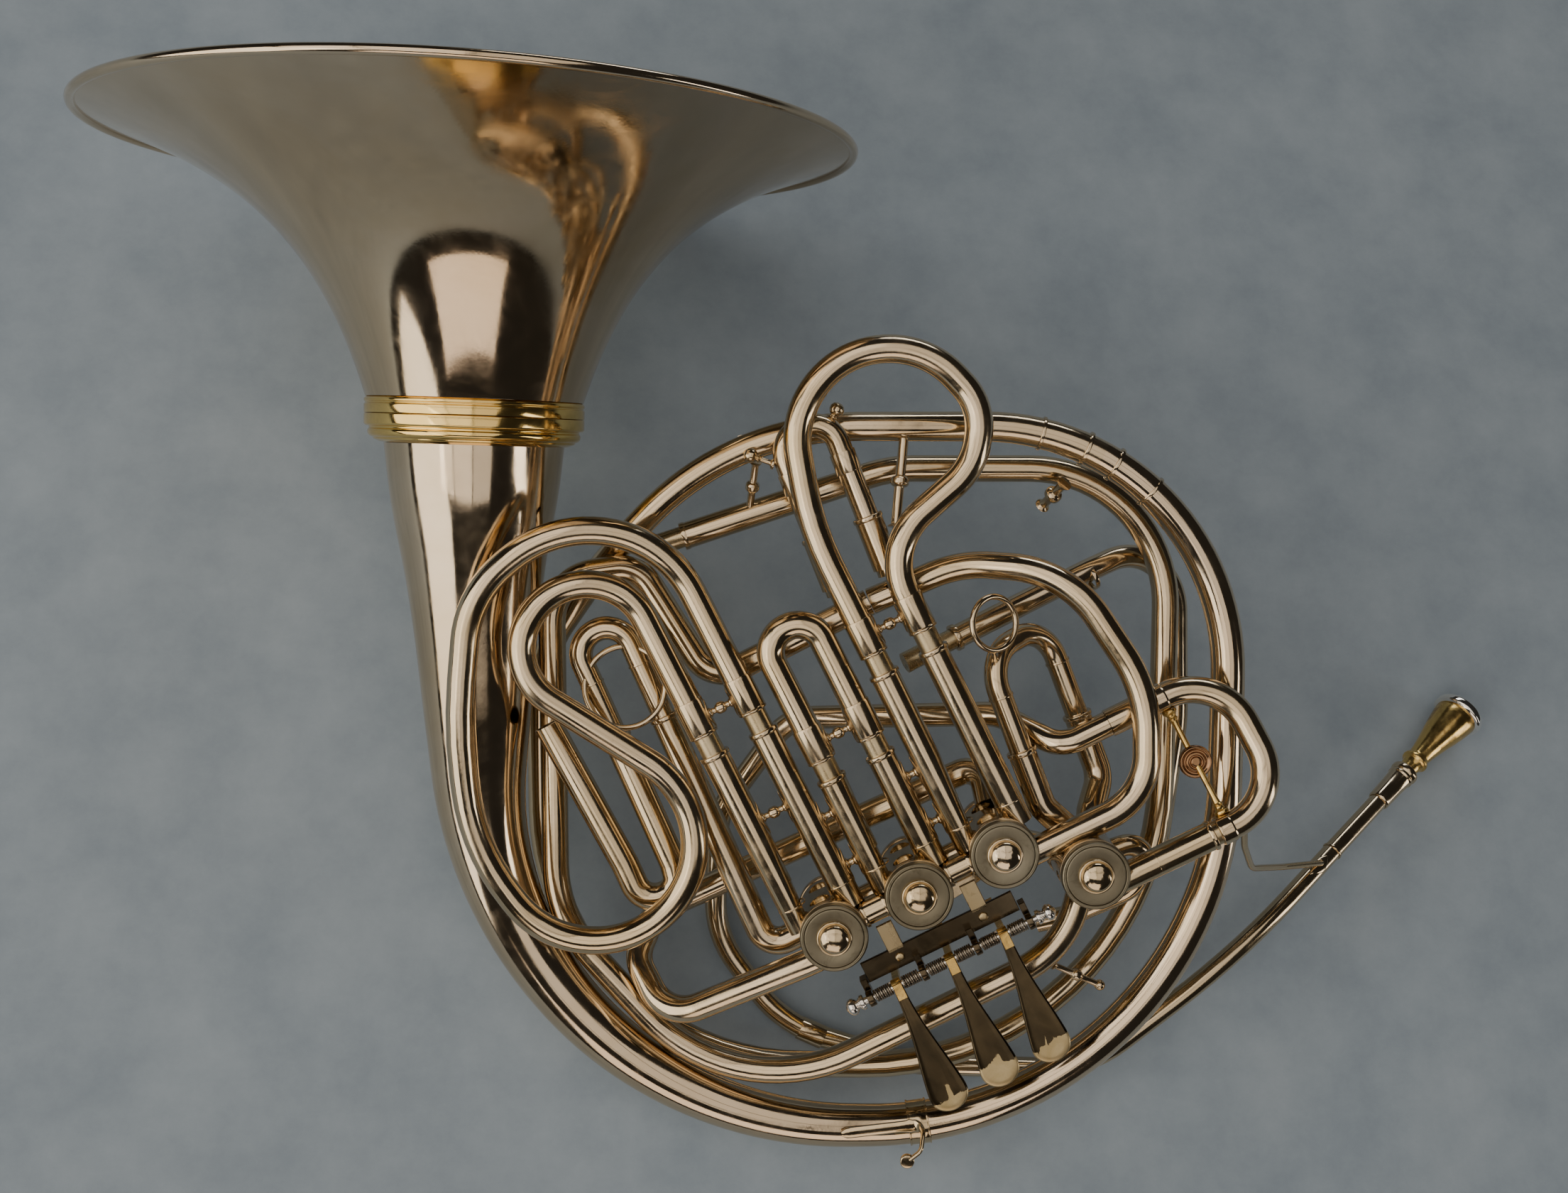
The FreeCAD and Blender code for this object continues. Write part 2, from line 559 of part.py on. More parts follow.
# main tuning slide
MAIN = ROW
main_low = at_valve(VALVE_4, -10.5, 52, F_STOREY)
main_high = at_valve(VALVE_4, 47.5, 52, 14)
lower = trim_to_casings(pipe(main_low, at_valve(VALVE_4, -10.5, 2, F_STOREY), SLEEVE_R,
                             SLEEVE_BORE))
upper = pipe(main_high, at_valve(VALVE_4, 47.5, 34.2, 14), SLEEVE_R, SLEEVE_BORE)
nodes["main_slide_sleeves"] = group(lower, upper, ring_band(main_low, MAIN),
                                    ring_band(main_high, MAIN))
main_parts = []
for mouth, depth in ((main_low, 38), (main_high, 16)):
    main_parts.append(pipe(mouth - MAIN * depth, mouth + MAIN * 8.0, STOCKING_R, STOCKING_BORE))
    main_parts.append(ferrule(mouth + MAIN * 2, MAIN, 6.5))
nodes["main_slide_legs"] = group(*main_parts)
nodes["main_slide_bow"] = tube([main_low + MAIN * 8.15, main_low + MAIN * 33, main_high + MAIN * 33,
                                main_high + MAIN * 8.15], 29)
stay_low = main_low + MAIN * 7
stay_high = main_high + MAIN * 7
stay_axis = unit(stay_high - stay_low)
stay_length = (stay_high - stay_low).Length
stay_bar = turned(stay_low + stay_axis * 5.9, stay_axis, [
    (0, 0), (0, 3.0), (1.5, 3.2), (3, 1.6), (stay_length - 14.8, 1.6), (stay_length - 13.3, 3.2),
    (stay_length - 11.8, 3.0), (stay_length - 11.8, 0)])
stay_disc = Part.makeCylinder(7.0, 3.4, (stay_low + stay_high) * 0.5 - V(0, 0, 1.7))
nodes["main_slide_stay"] = stay_bar.fuse(stay_disc)

# ---------------------------------------------------------------- levers and their hinge
HINGE_A = -32.0
HINGE_Z = 34.0
LEVER_B = [13.7, 38.1, 62.5]
POST_B = [1.5, 25.9, 50.3, 74.7]


def on_row(a, b, z):
    return at_valve(VALVE_1, a, b, z)


hinge_rod = pipe(on_row(HINGE_A, -1.5, HINGE_Z), on_row(HINGE_A, 77.7, HINGE_Z), 1.5)
ends = []
for b, way in ((-1.5, -1), (77.7, 1)):
    ends.append(turned(on_row(HINGE_A, b, HINGE_Z), ROW * way, [
        (0, 0), (0, 3.0), (1.6, 3.2), (3.0, 1.8), (3.6, 2.8), (5.4, 3.6), (7.2, 2.8), (8.2, 1.2),
        (8.4, 0)]))
rod_body = hinge_rod
for end in ends:
    rod_body = rod_body.fuse(end)

plate = Part.makeBox(70.0, 9.0, 2.0)
plate.Placement = FreeCAD.Placement(on_row(-28.5, 3, 24.5), FreeCAD.Rotation(ROW, LEG, V(0, 0, 1),
                                                                            "XYZ"))
bracket = plate
for b in POST_B:
    post = pipe(on_row(HINGE_A, b - 1.4, HINGE_Z), on_row(HINGE_A, b + 1.4, HINGE_Z), 3.4)
    web = Part.makeBox(2.8, 9.0, 9.0)
    web.Placement = FreeCAD.Placement(on_row(HINGE_A - 1.0, b - 1.4, 24.5),
                                      FreeCAD.Rotation(ROW, LEG, V(0, 0, 1), "XYZ"))
    bracket = bracket.fuse(post).fuse(web)
for b in (19.35, 58.05):
    strap = Part.makeBox(7.0, 20.0, 2.0)
    strap.Placement = FreeCAD.Placement(on_row(-21, b - 3.5, 24.5),
                                        FreeCAD.Rotation(ROW, LEG, V(0, 0, 1), "XYZ"))
    bracket = bracket.fuse(strap)
for band_valve in valves[:3]:
    bracket = bracket.cut(casing_cylinder(band_valve, CASING_R))
for b in (19.35, 58.05):
    centre = on_row(0, b, F_STOREY)
    bracket = bracket.cut(pipe(centre - ROW * 9, centre + ROW * 9, 6.45))
bracket = bracket.cut(pipe(on_row(HINGE_A, -3, HINGE_Z), on_row(HINGE_A, 80, HINGE_Z), 1.55))
nodes["lever_bracket"] = bracket


def lever(b, slant):
    """Narrow shank widening to a rounded touch, barrel on the rod, arm down to the link."""
    hinge = on_row(HINGE_A, b, HINGE_Z)
    barrel = pipe(hinge - ROW * 2.0, hinge + ROW * 2.0, 3.0)
    half = [(0, 1.9), (12, 2.4), (26, 4.6), (40, 7.4), (48, 8.4)]
    tip = 56.0
    edge = []
    for d, w in half:
        edge.append(V(-w - slant * d / tip, -d, 0))
    right = []
    for d, w in half:
        right.append(V(w - slant * d / tip, -d, 0))
    left_curve = Part.BSplineCurve()
    left_curve.interpolate(edge)
    right_curve = Part.BSplineCurve()
    right_curve.interpolate(right)
    nose = Part.Arc(edge[-1], V(-slant, -tip - 0.6, 0), right[-1]).toShape()
    outline = Part.Wire([left_curve.toShape(), nose, right_curve.toShape(),
                         Part.makeLine(right[0], edge[0])])
    blade = Part.Face(outline).extrude(V(0, 0, 1.6))
    blade.Placement = FreeCAD.Placement(hinge + V(0, 0, 1.6),
                                        FreeCAD.Rotation(ROW, LEG, V(0, 0, 1), "XYZ"))
    tilt = FreeCAD.Rotation(ROW, -4)
    blade.Placement = FreeCAD.Placement(V(0, 0, 0), tilt, hinge).multiply(blade.Placement)
    arm = Part.makeBox(3.0, 3.0, 46.0)
    arm.Placement = FreeCAD.Placement(hinge - ROW * 1.5 - LEG * 2.0 - V(0, 0, 47.5),
                                      FreeCAD.Rotation(ROW, LEG, V(0, 0, 1), "XYZ"))
    body = barrel.fuse(blade).fuse(arm)
    return body.cut(pipe(hinge - ROW * 3, hinge + ROW * 3, 1.56))


nodes["lever_1"] = lever(LEVER_B[0], 1.0)
nodes["lever_2"] = lever(LEVER_B[1], 2.0)
nodes["lever_3"] = lever(LEVER_B[2], 3.0)

springs = []
for b in LEVER_B:
    for way in (-1, 1):
        start = on_row(HINGE_A, b + 2.3 * way, HINGE_Z)
        springs.append(pipe(start, start + ROW * (8.0 * way), 3.0, 2.0))
nodes["lever_springs"] = group(*springs)

# thumb lever on the far side, working the fourth valve; its pin runs along the slide direction
THUMB_B = 76.0
THUMB_Z = -24.0


def row_box(a, b, z, size_a, size_b, size_z):
    box = Part.makeBox(size_b, size_a, size_z)
    box.Placement = FreeCAD.Placement(on_row(a, b, z), FreeCAD.Rotation(ROW, LEG, V(0, 0, 1), "XYZ"))
    return box


thumb_pin = pipe(on_row(-32, THUMB_B, THUMB_Z), on_row(-12, THUMB_B, THUMB_Z), 1.5)
nodes["hinge_pins"] = group(rod_body, thumb_pin)
thumb = pipe(on_row(-27, THUMB_B, THUMB_Z), on_row(-17, THUMB_B, THUMB_Z), 3.0)
thumb = thumb.fuse(row_box(-29, THUMB_B - 42, THUMB_Z - 3.0, 14, 40, 1.8))
thumb = thumb.fuse(row_box(-24, THUMB_B, THUMB_Z - 3.0, 4, 14, 2.4))
nodes["thumb_lever"] = thumb.cut(pipe(on_row(-40, THUMB_B, THUMB_Z), on_row(-4, THUMB_B, THUMB_Z),
                                      1.56))

# ---------------------------------------------------------------- small fittings
hook_way = unit(V(32, 4, 0))
hook_strip = Part.makeBox(34, 5.0, 1.8)
hook_strip.Placement = FreeCAD.Placement(V(24.3, -235.5, 10.3),
                                         FreeCAD.Rotation(hook_way, V(-4, 32, 0), V(0, 0, 1), "XYZ"))
hook_curl = rod([V(50, -229.7, 11.2), V(58.5, -228.7, 12), V(60, -229.5, 17), V(58.5, -236, 21.5),
                 V(52.8, -240.3, 22)], [4, 4, 4], 1.7)
hook_disc = Part.makeCylinder(3.1, 2.2, V(52.6, -240.1, 20.9))
nodes["finger_hook"] = hook_strip.fuse(hook_curl).fuse(hook_disc)

pipe_stay = rod([V(199.5, -100, -2), V(202, -111, -9), V(210, -125, -24), V(232, -131, -48),
                 PIPE_FOOT + PIPE_DIR * 64 + V(0, 3, 4)], [14, 16, 16], 1.5)
nodes["pipe_stay"] = pipe_stay.cut(pipe(PIPE_FOOT, pipe_end, 4.7))

# soldered stays between neighbouring tubes
stays = []
stays.append(flanged_bar(at_valve(v1, 55, SLEEVE_R - PORT, F_STOREY),
                         at_valve(v1, 55, PORT - SLEEVE_R, F_STOREY)))
for index in (0, 1):
    for a in (22.0, 44.0):
        left = at_valve(valves[index], a, PORT + SLEEVE_R, F_STOREY)
        right = at_valve(valves[index + 1], a, -PORT - SLEEVE_R, F_STOREY)
        stays.append(pipe(left, right, 2.2))
stays.append(pipe(V(48, 68.5, 2), V(46.6, 30, 9.5), 2.2))
stays.append(pipe(V(-12, 57, -3), V(-15, 36, -13), 1.8))
stays.append(pipe(V(119, 48, -2), V(112, 38, -16), 2.2))
ball_stay = pipe(V(116, -158.5, 8), V(137, -169, 4), 1.4)
stays.append(ball_stay.fuse(Part.makeSphere(2.4, V(137, -169, 4))))
stays.append(pipe(V(-97, -128, -6), V(-104, -132, -22), 2.0))
stays.append(pipe(V(-47, -197, -2), V(-62, -196, -20), 2.0))
keep_clear = [nodes[name] for name in ("body_bow", "bell_tail", "body_top_branch", "second_turn",
                                       "fourth_valve_branch", "bb_slide_sleeves")]
trimmed = []
for stay in stays:
    for other in keep_clear:
        stay = stay.cut(other)
    trimmed.append(max(stay.Solids, key=lambda piece: piece.Volume))
nodes["soldered_stays"] = group(*trimmed)

# ---------------------------------------------------------------- lay the horn on the table
TIP_X = 18.63
TIP_Y = -7.61
SHIFT = V(-38.86, 3.565, 105.34)
TIP = FreeCAD.Rotation(V(0, 1, 0), TIP_Y) * FreeCAD.Rotation(V(1, 0, 0), TIP_X)
WORLD = FreeCAD.Placement(SHIFT, TIP)
os.makedirs("parts", exist_ok=True)
for name, shape in nodes.items():
    if not shape.isValid() or not shape.Solids:
        print("BAD", name, shape.isValid(), len(shape.Solids))
    shape.Placement = WORLD.multiply(shape.Placement)
    shape.exportStep("parts/%s.step" % name)
print(len(nodes), "nodes")
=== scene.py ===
import math

import bpy
import numpy as np
from mathutils import Matrix, Vector


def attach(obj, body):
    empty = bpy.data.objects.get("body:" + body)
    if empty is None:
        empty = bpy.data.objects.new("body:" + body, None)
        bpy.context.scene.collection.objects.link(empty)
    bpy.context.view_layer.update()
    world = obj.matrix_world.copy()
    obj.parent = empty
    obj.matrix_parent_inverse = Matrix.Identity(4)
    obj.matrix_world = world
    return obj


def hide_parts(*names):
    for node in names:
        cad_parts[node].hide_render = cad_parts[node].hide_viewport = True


# Double french horn.  Shapes are written in millimetres in the horn's own frame, where the coil
# lies in the XY plane and +Z comes out on the lever side, and are then tipped onto the floor with
# the same turn and shift as the solids.

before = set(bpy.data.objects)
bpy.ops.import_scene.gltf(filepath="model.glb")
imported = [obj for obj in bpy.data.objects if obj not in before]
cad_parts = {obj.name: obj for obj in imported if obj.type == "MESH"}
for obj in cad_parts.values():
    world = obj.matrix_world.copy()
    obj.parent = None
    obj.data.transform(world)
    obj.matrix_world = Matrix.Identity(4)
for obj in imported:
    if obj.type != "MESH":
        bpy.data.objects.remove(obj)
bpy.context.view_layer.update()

# ---------------------------------------------------------------- driving dimensions
TIP = Matrix.Rotation(math.radians(-7.61), 3, "Y") @ Matrix.Rotation(math.radians(18.63), 3, "X")
SHIFT = Vector((-38.86, 3.565, 105.34))

BELL_RADIUS = 155.0
BELL_SCALE = 45.0            # flare law r = R * (1 + s / scale) ** -power
BELL_POWER = 1.02
BELL_WALL = 0.8
BELL_LENGTH = 106.0
BELL_LEAN = math.radians(2.0)
RIM_CENTRE = Vector((-126, 189, 0))
RING_RADIUS = 45.6

BOW_R = 5.8
BORE_R = 4.8
STOCKING_R = 5.0
STOCKING_BORE = 4.5
SLEEVE_R = 6.0
SLEEVE_BORE = 5.05
FERRULE_R = 6.2

F_STOREY = 28.0
BB_STOREY = 9.0
CASING_R = 13.6
SEAT_R = 12.7
CASING_LOW = -4.0
CASING_TOP = 38.0
ROW = Vector((0.8944, 0.4472, 0))
LEG = Vector((-0.4472, 0.8944, 0))
UP = Vector((0, 0, 1))
VALVE_1 = Vector((20.5, -136, 0))
VALVE_STEP = 38.7
VALVE_4 = Vector((127, -110, 0))
PORT = 11.2
PIPE_DIR = Vector((0.722, 0.540, -0.432)).normalized()
PIPE_FOOT = Vector((211, -171, -44))
VALVES = [VALVE_1 + ROW * (VALVE_STEP * k) for k in range(3)] + [VALVE_4]


def V(x, y, z=0.0):
    return Vector((x, y, z))


def at_valve(valve, a, b, z):
    """Point a along the slide direction and b along the valve row from a valve centre."""
    return valve + LEG * a + ROW * b + V(0, 0, z)


def on_row(a, b, z):
    return at_valve(VALVE_1, a, b, z)


def at_floor(point):
    """A point of the horn's own frame, in metres in the row frame."""
    return (TIP @ Vector(point) + SHIFT) / 1000


# ---------------------------------------------------------------- shapes as (points, faces)
def joined(*shapes):
    points = []
    faces = []
    for some_points, some_faces in shapes:
        base = len(points)
        points.extend(some_points)
        faces.extend([tuple(base + i for i in face) for face in some_faces])
    return points, faces


def route(points, bends, spacing=60.0, turn_step=math.radians(5)):
    """Sampled line of straight runs joined by tangent arcs at the inner points."""
    points = [Vector(p) for p in points]
    count = len(points)
    if not isinstance(bends, (list, tuple)):
        bends = [bends] * (count - 2)
    line = [points[0]]

    def run_to(target):
        gap = (target - line[-1]).length
        if gap < 0.02:
            return
        pieces = max(1, int(math.ceil(gap / spacing)))
        here = line[-1].copy()
        for k in range(1, pieces + 1):
            line.append(here.lerp(target, k / pieces))

    here = points[0]
    for i in range(1, count - 1):
        into = (points[i] - points[i - 1]).normalized()
        out = (points[i + 1] - points[i]).normalized()
        turn = into.angle(out)
        room_after = (points[i + 1] - points[i]).length * (0.98 if i == count - 2 else 0.5)
        room_before = (points[i] - here).length * 0.98
        trim = min(bends[i - 1] * math.tan(turn / 2), room_before, room_after)
        radius = trim / math.tan(turn / 2)
        start = points[i] - into * trim
        centre = points[i] + (out - into).normalized() * (radius / math.cos(turn / 2))
        run_to(start)
        axis = into.cross(out).normalized()
        steps = max(2, int(math.ceil(max(turn / turn_step, radius * turn / spacing))))
        for k in range(1, steps + 1):
            swing = Matrix.Rotation(turn * k / steps, 3, axis)
            line.append(centre + swing @ (start - centre))
        here = points[i] + out * trim
    run_to(points[-1])
    return line


def tangents(line):
    result = []
    for k in range(len(line)):
        before = line[max(0, k - 1)]
        after = line[min(len(line) - 1, k + 1)]
        result.append((after - before).normalized())
    return result


def frames(line, seed=None):
    """Direction, side and top at each point, carried along without twisting."""
    directions = tangents(line)
    side = directions[0].cross(seed if seed else UP)
    if side.length < 0.01:
        side = directions[0].cross(V(1, 0, 0))
    side.normalize()
    result = []
    for k, direction in enumerate(directions):
        if k:
            side = directions[k - 1].rotation_difference(direction) @ side
        side = (side - direction * side.dot(direction)).normalized()
        result.append((direction, side, direction.cross(side)))
    return result


def lengths(line):
    total = [0.0]
    for a, b in zip(line, line[1:]):
        total.append(total[-1] + (b - a).length)
    return total


def ring_faces(first, second, closed=True):
    count = len(first)
    faces = []
    for k in range(count if closed else count - 1):
        n = (k + 1) % count
        corners = [first[k], first[n], second[n], second[k]]
        unique = []
        for corner in corners:
            if corner not in unique:
                unique.append(corner)
        if len(unique) > 2:
            faces.append(tuple(unique))
    return faces


def sweep(line, outer, inner=0.0, sides=36):
    """Closed round tube, or rod when there is no bore; outer may give one radius per point."""
    count = len(line)
    radii = outer if isinstance(outer, (list, tuple)) else [outer] * count
    wall = None
    if inner:
        wall = radii[0] - inner
    points = []
    rows = []
    inner_rows = []
    for (direction, side, top), centre, radius in zip(frames(line), line, radii):
        for rings, r in ((rows, radius), (inner_rows, radius - wall if wall else None)):
            if r is None:
                continue
            ring = []
            for k in range(sides):
                angle = 2 * math.pi * k / sides
                ring.append(len(points))
                points.append(centre + side * (r * math.cos(angle)) + top * (r * math.sin(angle)))
            rings.append(ring)
    faces = []
    for a, b in zip(rows, rows[1:]):
        faces.extend(ring_faces(a, b))
    if wall:
        for a, b in zip(inner_rows, inner_rows[1:]):
            faces.extend(ring_faces(b, a))
        faces.extend(ring_faces(inner_rows[0], rows[0]))
        faces.extend(ring_faces(rows[-1], inner_rows[-1]))
    else:
        faces.append(tuple(reversed(rows[0])))
        faces.append(tuple(rows[-1]))
    return points, faces


def softened(profile, radius=0.25, steps=2):
    """Closed profile with each corner off the axis rounded a little."""
    corners = [Vector(p) for p in profile]
    result = []
    count = len(corners)
    for k, corner in enumerate(corners):
        before = corners[k - 1]
        after = corners[(k + 1) % count]
        reach = min(radius, (before - corner).length * 0.4, (after - corner).length * 0.4)
        if corner.y < 0.01 or reach < 0.01:
            result.append((corner.x, corner.y))
            continue
        a = corner + (before - corner).normalized() * reach
        b = corner + (after - corner).normalized() * reach
        for n in range(steps + 1):
            t = n / steps
            p = a * (1 - t) ** 2 + corner * (2 * t * (1 - t)) + b * t ** 2
            result.append((p.x, p.y))
    return result


def turned(start, axis, profile, sides=64, soften=0.25):
    """Body of revolution: profile is a closed list of (distance, radius) along the axis."""
    axis = Vector(axis).normalized()
    side = axis.cross(UP)
    if side.length < 0.01:
        side = axis.cross(V(1, 0, 0))
    side.normalize()
    top = axis.cross(side)
    outline = softened(profile, soften) if soften else list(profile)
    points = []
    rings = []
    for distance, radius in outline:
        centre = Vector(start) + axis * distance
        if radius < 0.005:
            rings.append([len(points)] * sides)
            points.append(centre)
            continue
        ring = []
        for k in range(sides):
            angle = 2 * math.pi * k / sides
            ring.append(len(points))
            points.append(centre + side * (radius * math.cos(angle)) + top * (radius * math.sin(angle)))
        rings.append(ring)
    faces = []
    count = len(rings)
    for k in range(count):
        a, b = rings[k], rings[(k + 1) % count]
        if a[0] == a[1] and b[0] == b[1]:
            continue
        faces.extend(ring_faces(a, b))
    return points, faces


def bar(p, q, radius, inner=0.0, sides=36):
    return sweep([Vector(p), Vector(q)], radius, inner, sides)


def in_casing(p):
    return any(math.hypot(p.x - v.x, p.y - v.y) < SEAT_R
               and CASING_LOW < p.z < CASING_TOP for v in VALVES)


def clear_start(line):
    """The line cut back to where it meets the wall of a valve casing."""
    while in_casing(line[0]) and in_casing(line[1]):
        line = line[1:]
    if in_casing(line[0]):
        low, high = line[0], line[1]
        for _ in range(12):
            middle = low.lerp(high, 0.5)
            if in_casing(middle):
                low = middle
            else:
                high = middle
        line = [high] + line[1:]
    return line


def clear_of_casings(line):
    return clear_start(clear_start(line)[::-1])[::-1]


def cased(line, outer, inner, sides=36):
    """Tube along a line that stops at the valve casings, its end shaped to the casing wall."""
    points, faces = sweep(clear_of_casings(line), outer, inner, sides)
    for point in points:
        for valve in VALVES:
            away = math.hypot(point.x - valve.x, point.y - valve.y)
            if 0 < away < SEAT_R and CASING_LOW < point.z < CASING_TOP:
                point.x = valve.x + (point.x - valve.x) * SEAT_R / away
                point.y = valve.y + (point.y - valve.y) * SEAT_R / away
    return points, faces


def tube(points, bends=20, outer=BOW_R, inner=BORE_R, sides=36):
    return cased(route(points, bends), outer, inner, sides)


def band(centre, axis, width, outer, inner, soften=0.3):
    """Ring round a tube, centred at a point."""
    axis = Vector(axis).normalized()
    return turned(Vector(centre) - axis * (width / 2), axis,
                  [(0, inner), (0, outer), (width, outer), (width, inner)], 48, soften)


def ball(centre, radius, sides=32):
    steps = 16
    profile = []
    for k in range(steps + 1):
        angle = math.pi * k / steps
        profile.append((-radius * math.cos(angle), max(0.0, radius * math.sin(angle))))
    profile[0] = (-radius, 0.0)
    profile[-1] = (radius, 0.0)
    return turned(centre, UP, profile, sides, 0)


def torus(centre, normal, major, minor, sides=72, around=16):
    normal = Vector(normal).normalized()
    side = normal.cross(V(1, 0, 0))
    if side.length < 0.1:
        side = normal.cross(V(0, 1, 0))
    side.normalize()
    top = normal.cross(side)
    points = []
    rings = []
    for k in range(sides):
        angle = 2 * math.pi * k / sides
        out = side * math.cos(angle) + top * math.sin(angle)
        ring = []
        for n in range(around):
            swing = 2 * math.pi * n / around
            ring.append(len(points))
            points.append(Vector(centre) + out * (major + minor * math.cos(swing))
                          + normal * (minor * math.sin(swing)))
        rings.append(ring)
    faces = []
    for k in range(sides):
        faces.extend(ring_faces(rings[k], rings[(k + 1) % sides]))
    return points, faces


def slab(outline, thickness, bevel=0.5):
    """Flat plate in its own XY plane from a closed outline, with its edges broken."""
    count = len(outline)
    corners = [Vector((x, y)) for x, y in outline]
    insets = []
    for k in range(count):
        before = (corners[k] - corners[k - 1]).normalized()
        after = (corners[(k + 1) % count] - corners[k]).normalized()
        across = before + after
        if across.length < 0.01:
            across = before
        across.normalize()
        insets.append(corners[k] + Vector((-across.y, across.x)) * bevel)
    points = []
    rings = []
    for ring_points, z in ((insets, 0), (corners, bevel), (corners, thickness - bevel),
                           (insets, thickness)):
        ring = []
        for p in ring_points:
            ring.append(len(points))
            points.append(Vector((p.x, p.y, z)))
        rings.append(ring)
    faces = [tuple(reversed(rings[0])), tuple(rings[-1])]
    for a, b in zip(rings, rings[1:]):
        faces.extend(ring_faces(a, b))
    return points, faces


def oriented(shape, origin, x_axis, y_axis, z_axis):
    points, faces = shape
    moved = [Vector(origin) + x_axis * p.x + y_axis * p.y + z_axis * p.z for p in points]
    return moved, faces


# ---------------------------------------------------------------- materials
def new_material(name):
    material = bpy.data.materials.new(name)
    material.use_nodes = True
    return material, material.node_tree.nodes, material.node_tree.links


def ramp(nodes, stops):
    node = nodes.new("ShaderNodeValToRGB")
    while len(node.color_ramp.elements) < len(stops):
        node.color_ramp.elements.new(0.5)
    for element, (position, colour) in zip(node.color_ramp.elements, stops):
        element.position = position
        element.color = (*colour, 1) if len(colour) == 3 else colour
    return node


def noise(nodes, links, coords, scale, detail=4.0, rough=0.55, distortion=0.0):
    node = nodes.new("ShaderNodeTexNoise")
    node.inputs["Scale"].default_value = scale
    node.inputs["Detail"].default_value = detail
    node.inputs["Roughness"].default_value = rough
    node.inputs["Distortion"].default_value = distortion
    links.new(coords, node.inputs["Vector"])
    return node


def worn_metal(name, bright, warm, dull, smooth=0.07, matt=0.22, tarnish=0.35, scratch=0.012):
    """Polished metal: slow colour drift, dull smears, specks of tarnish and fine wipe marks."""
    material, nodes, links = new_material(name)
    shader = nodes["Principled BSDF"]
    shader.inputs["Metallic"].default_value = 1.0
    coords = nodes.new("ShaderNodeTexCoord").outputs["Object"]

    drift = noise(nodes, links, coords, 14, 5, 0.6, 0.6)
    drift_ramp = ramp(nodes, [(0.35, bright), (0.72, warm)])
    links.new(drift.outputs["Fac"], drift_ramp.inputs["Fac"])
    spots = noise(nodes, links, coords, 75, 8, 0.7, 1.2)
    spot_ramp = ramp(nodes, [(1 - tarnish, (0, 0, 0)), (min(0.98, 1.22 - tarnish), (1, 1, 1))])
    links.new(spots.outputs["Fac"], spot_ramp.inputs["Fac"])
    mix = nodes.new("ShaderNodeMix")
    mix.data_type = "RGBA"
    links.new(spot_ramp.outputs["Color"], mix.inputs["Factor"])
    links.new(drift_ramp.outputs["Color"], mix.inputs["A"])
    mix.inputs["B"].default_value = (*dull, 1)
    links.new(mix.outputs["Result"], shader.inputs["Base Color"])

    smear = noise(nodes, links, coords, 38, 6, 0.62, 2.0)
    smear_ramp = ramp(nodes, [(0.38, (smooth,) * 3), (0.78, (matt,) * 3)])
    links.new(smear.outputs["Fac"], smear_ramp.inputs["Fac"])
    links.new(smear_ramp.outputs["Color"], shader.inputs["Roughness"])

    wipe = nodes.new("ShaderNodeTexNoise")
    wipe.inputs["Scale"].default_value = 900
    wipe.inputs["Detail"].default_value = 3
    stretch = nodes.new("ShaderNodeMapping")
    stretch.inputs["Scale"].default_value = (1.0, 0.12, 1.0)
    stretch.inputs["Rotation"].default_value = (0.3, 0.2, 0.5)
    links.new(coords, stretch.inputs["Vector"])
    links.new(stretch.outputs["Vector"], wipe.inputs["Vector"])
    dent = noise(nodes, links, coords, 30, 2, 0.5)
    bump = nodes.new("ShaderNodeBump")
    bump.inputs["Strength"].default_value = scratch
    bump.inputs["Distance"].default_value = 0.001
    links.new(wipe.outputs["Fac"], bump.inputs["Height"])
    wave = nodes.new("ShaderNodeBump")
    wave.inputs["Strength"].default_value = 0.10
    wave.inputs["Distance"].default_value = 0.0012
    links.new(dent.outputs["Fac"], wave.inputs["Height"])
    links.new(bump.outputs["Normal"], wave.inputs["Normal"])
    links.new(wave.outputs["Normal"], shader.inputs["Normal"])
    return material


SILVER = worn_metal("nickel_silver", (0.67, 0.545, 0.375), (0.58, 0.45, 0.265), (0.25, 0.17, 0.09),
                    0.10, 0.24)
BODY_SILVER = worn_metal("nickel_silver_body", (0.70, 0.57, 0.405), (0.61, 0.47, 0.295),
                         (0.32, 0.22, 0.12), 0.07, 0.18, 0.30, 0.008)
STOCKING = worn_metal("slide_stocking", (0.62, 0.52, 0.34), (0.50, 0.38, 0.20),
                      (0.25, 0.18, 0.09), 0.22, 0.42, 0.45, 0.03)
RING_BRASS = worn_metal("ring_brass", (0.90, 0.66, 0.25), (0.80, 0.54, 0.16), (0.42, 0.26, 0.08),
                        0.08, 0.2, 0.3)
COPPER = worn_metal("copper_disc", (0.42, 0.25, 0.14), (0.30, 0.17, 0.09), (0.14, 0.08, 0.04),
                    0.14, 0.3, 0.4, 0.02)
AGED_BRASS = worn_metal("aged_brass", (0.84, 0.60, 0.22), (0.62, 0.41, 0.13), (0.28, 0.17, 0.06),
                        0.16, 0.40, 0.50, 0.02)
SILVER_PLATE = worn_metal("silver_plate", (0.90, 0.88, 0.84), (0.84, 0.78, 0.68),
                          (0.45, 0.38, 0.30), 0.05, 0.16, 0.3)
GREY_CAP = worn_metal("grey_cap", (0.26, 0.235, 0.17), (0.19, 0.165, 0.11), (0.09, 0.075, 0.045),
                      0.34, 0.52, 0.45, 0.05)
TARNISHED = worn_metal("tarnished_plate", (0.12, 0.095, 0.06), (0.08, 0.06, 0.035),
                       (0.35, 0.26, 0.14), 0.16, 0.34, 0.30, 0.02)
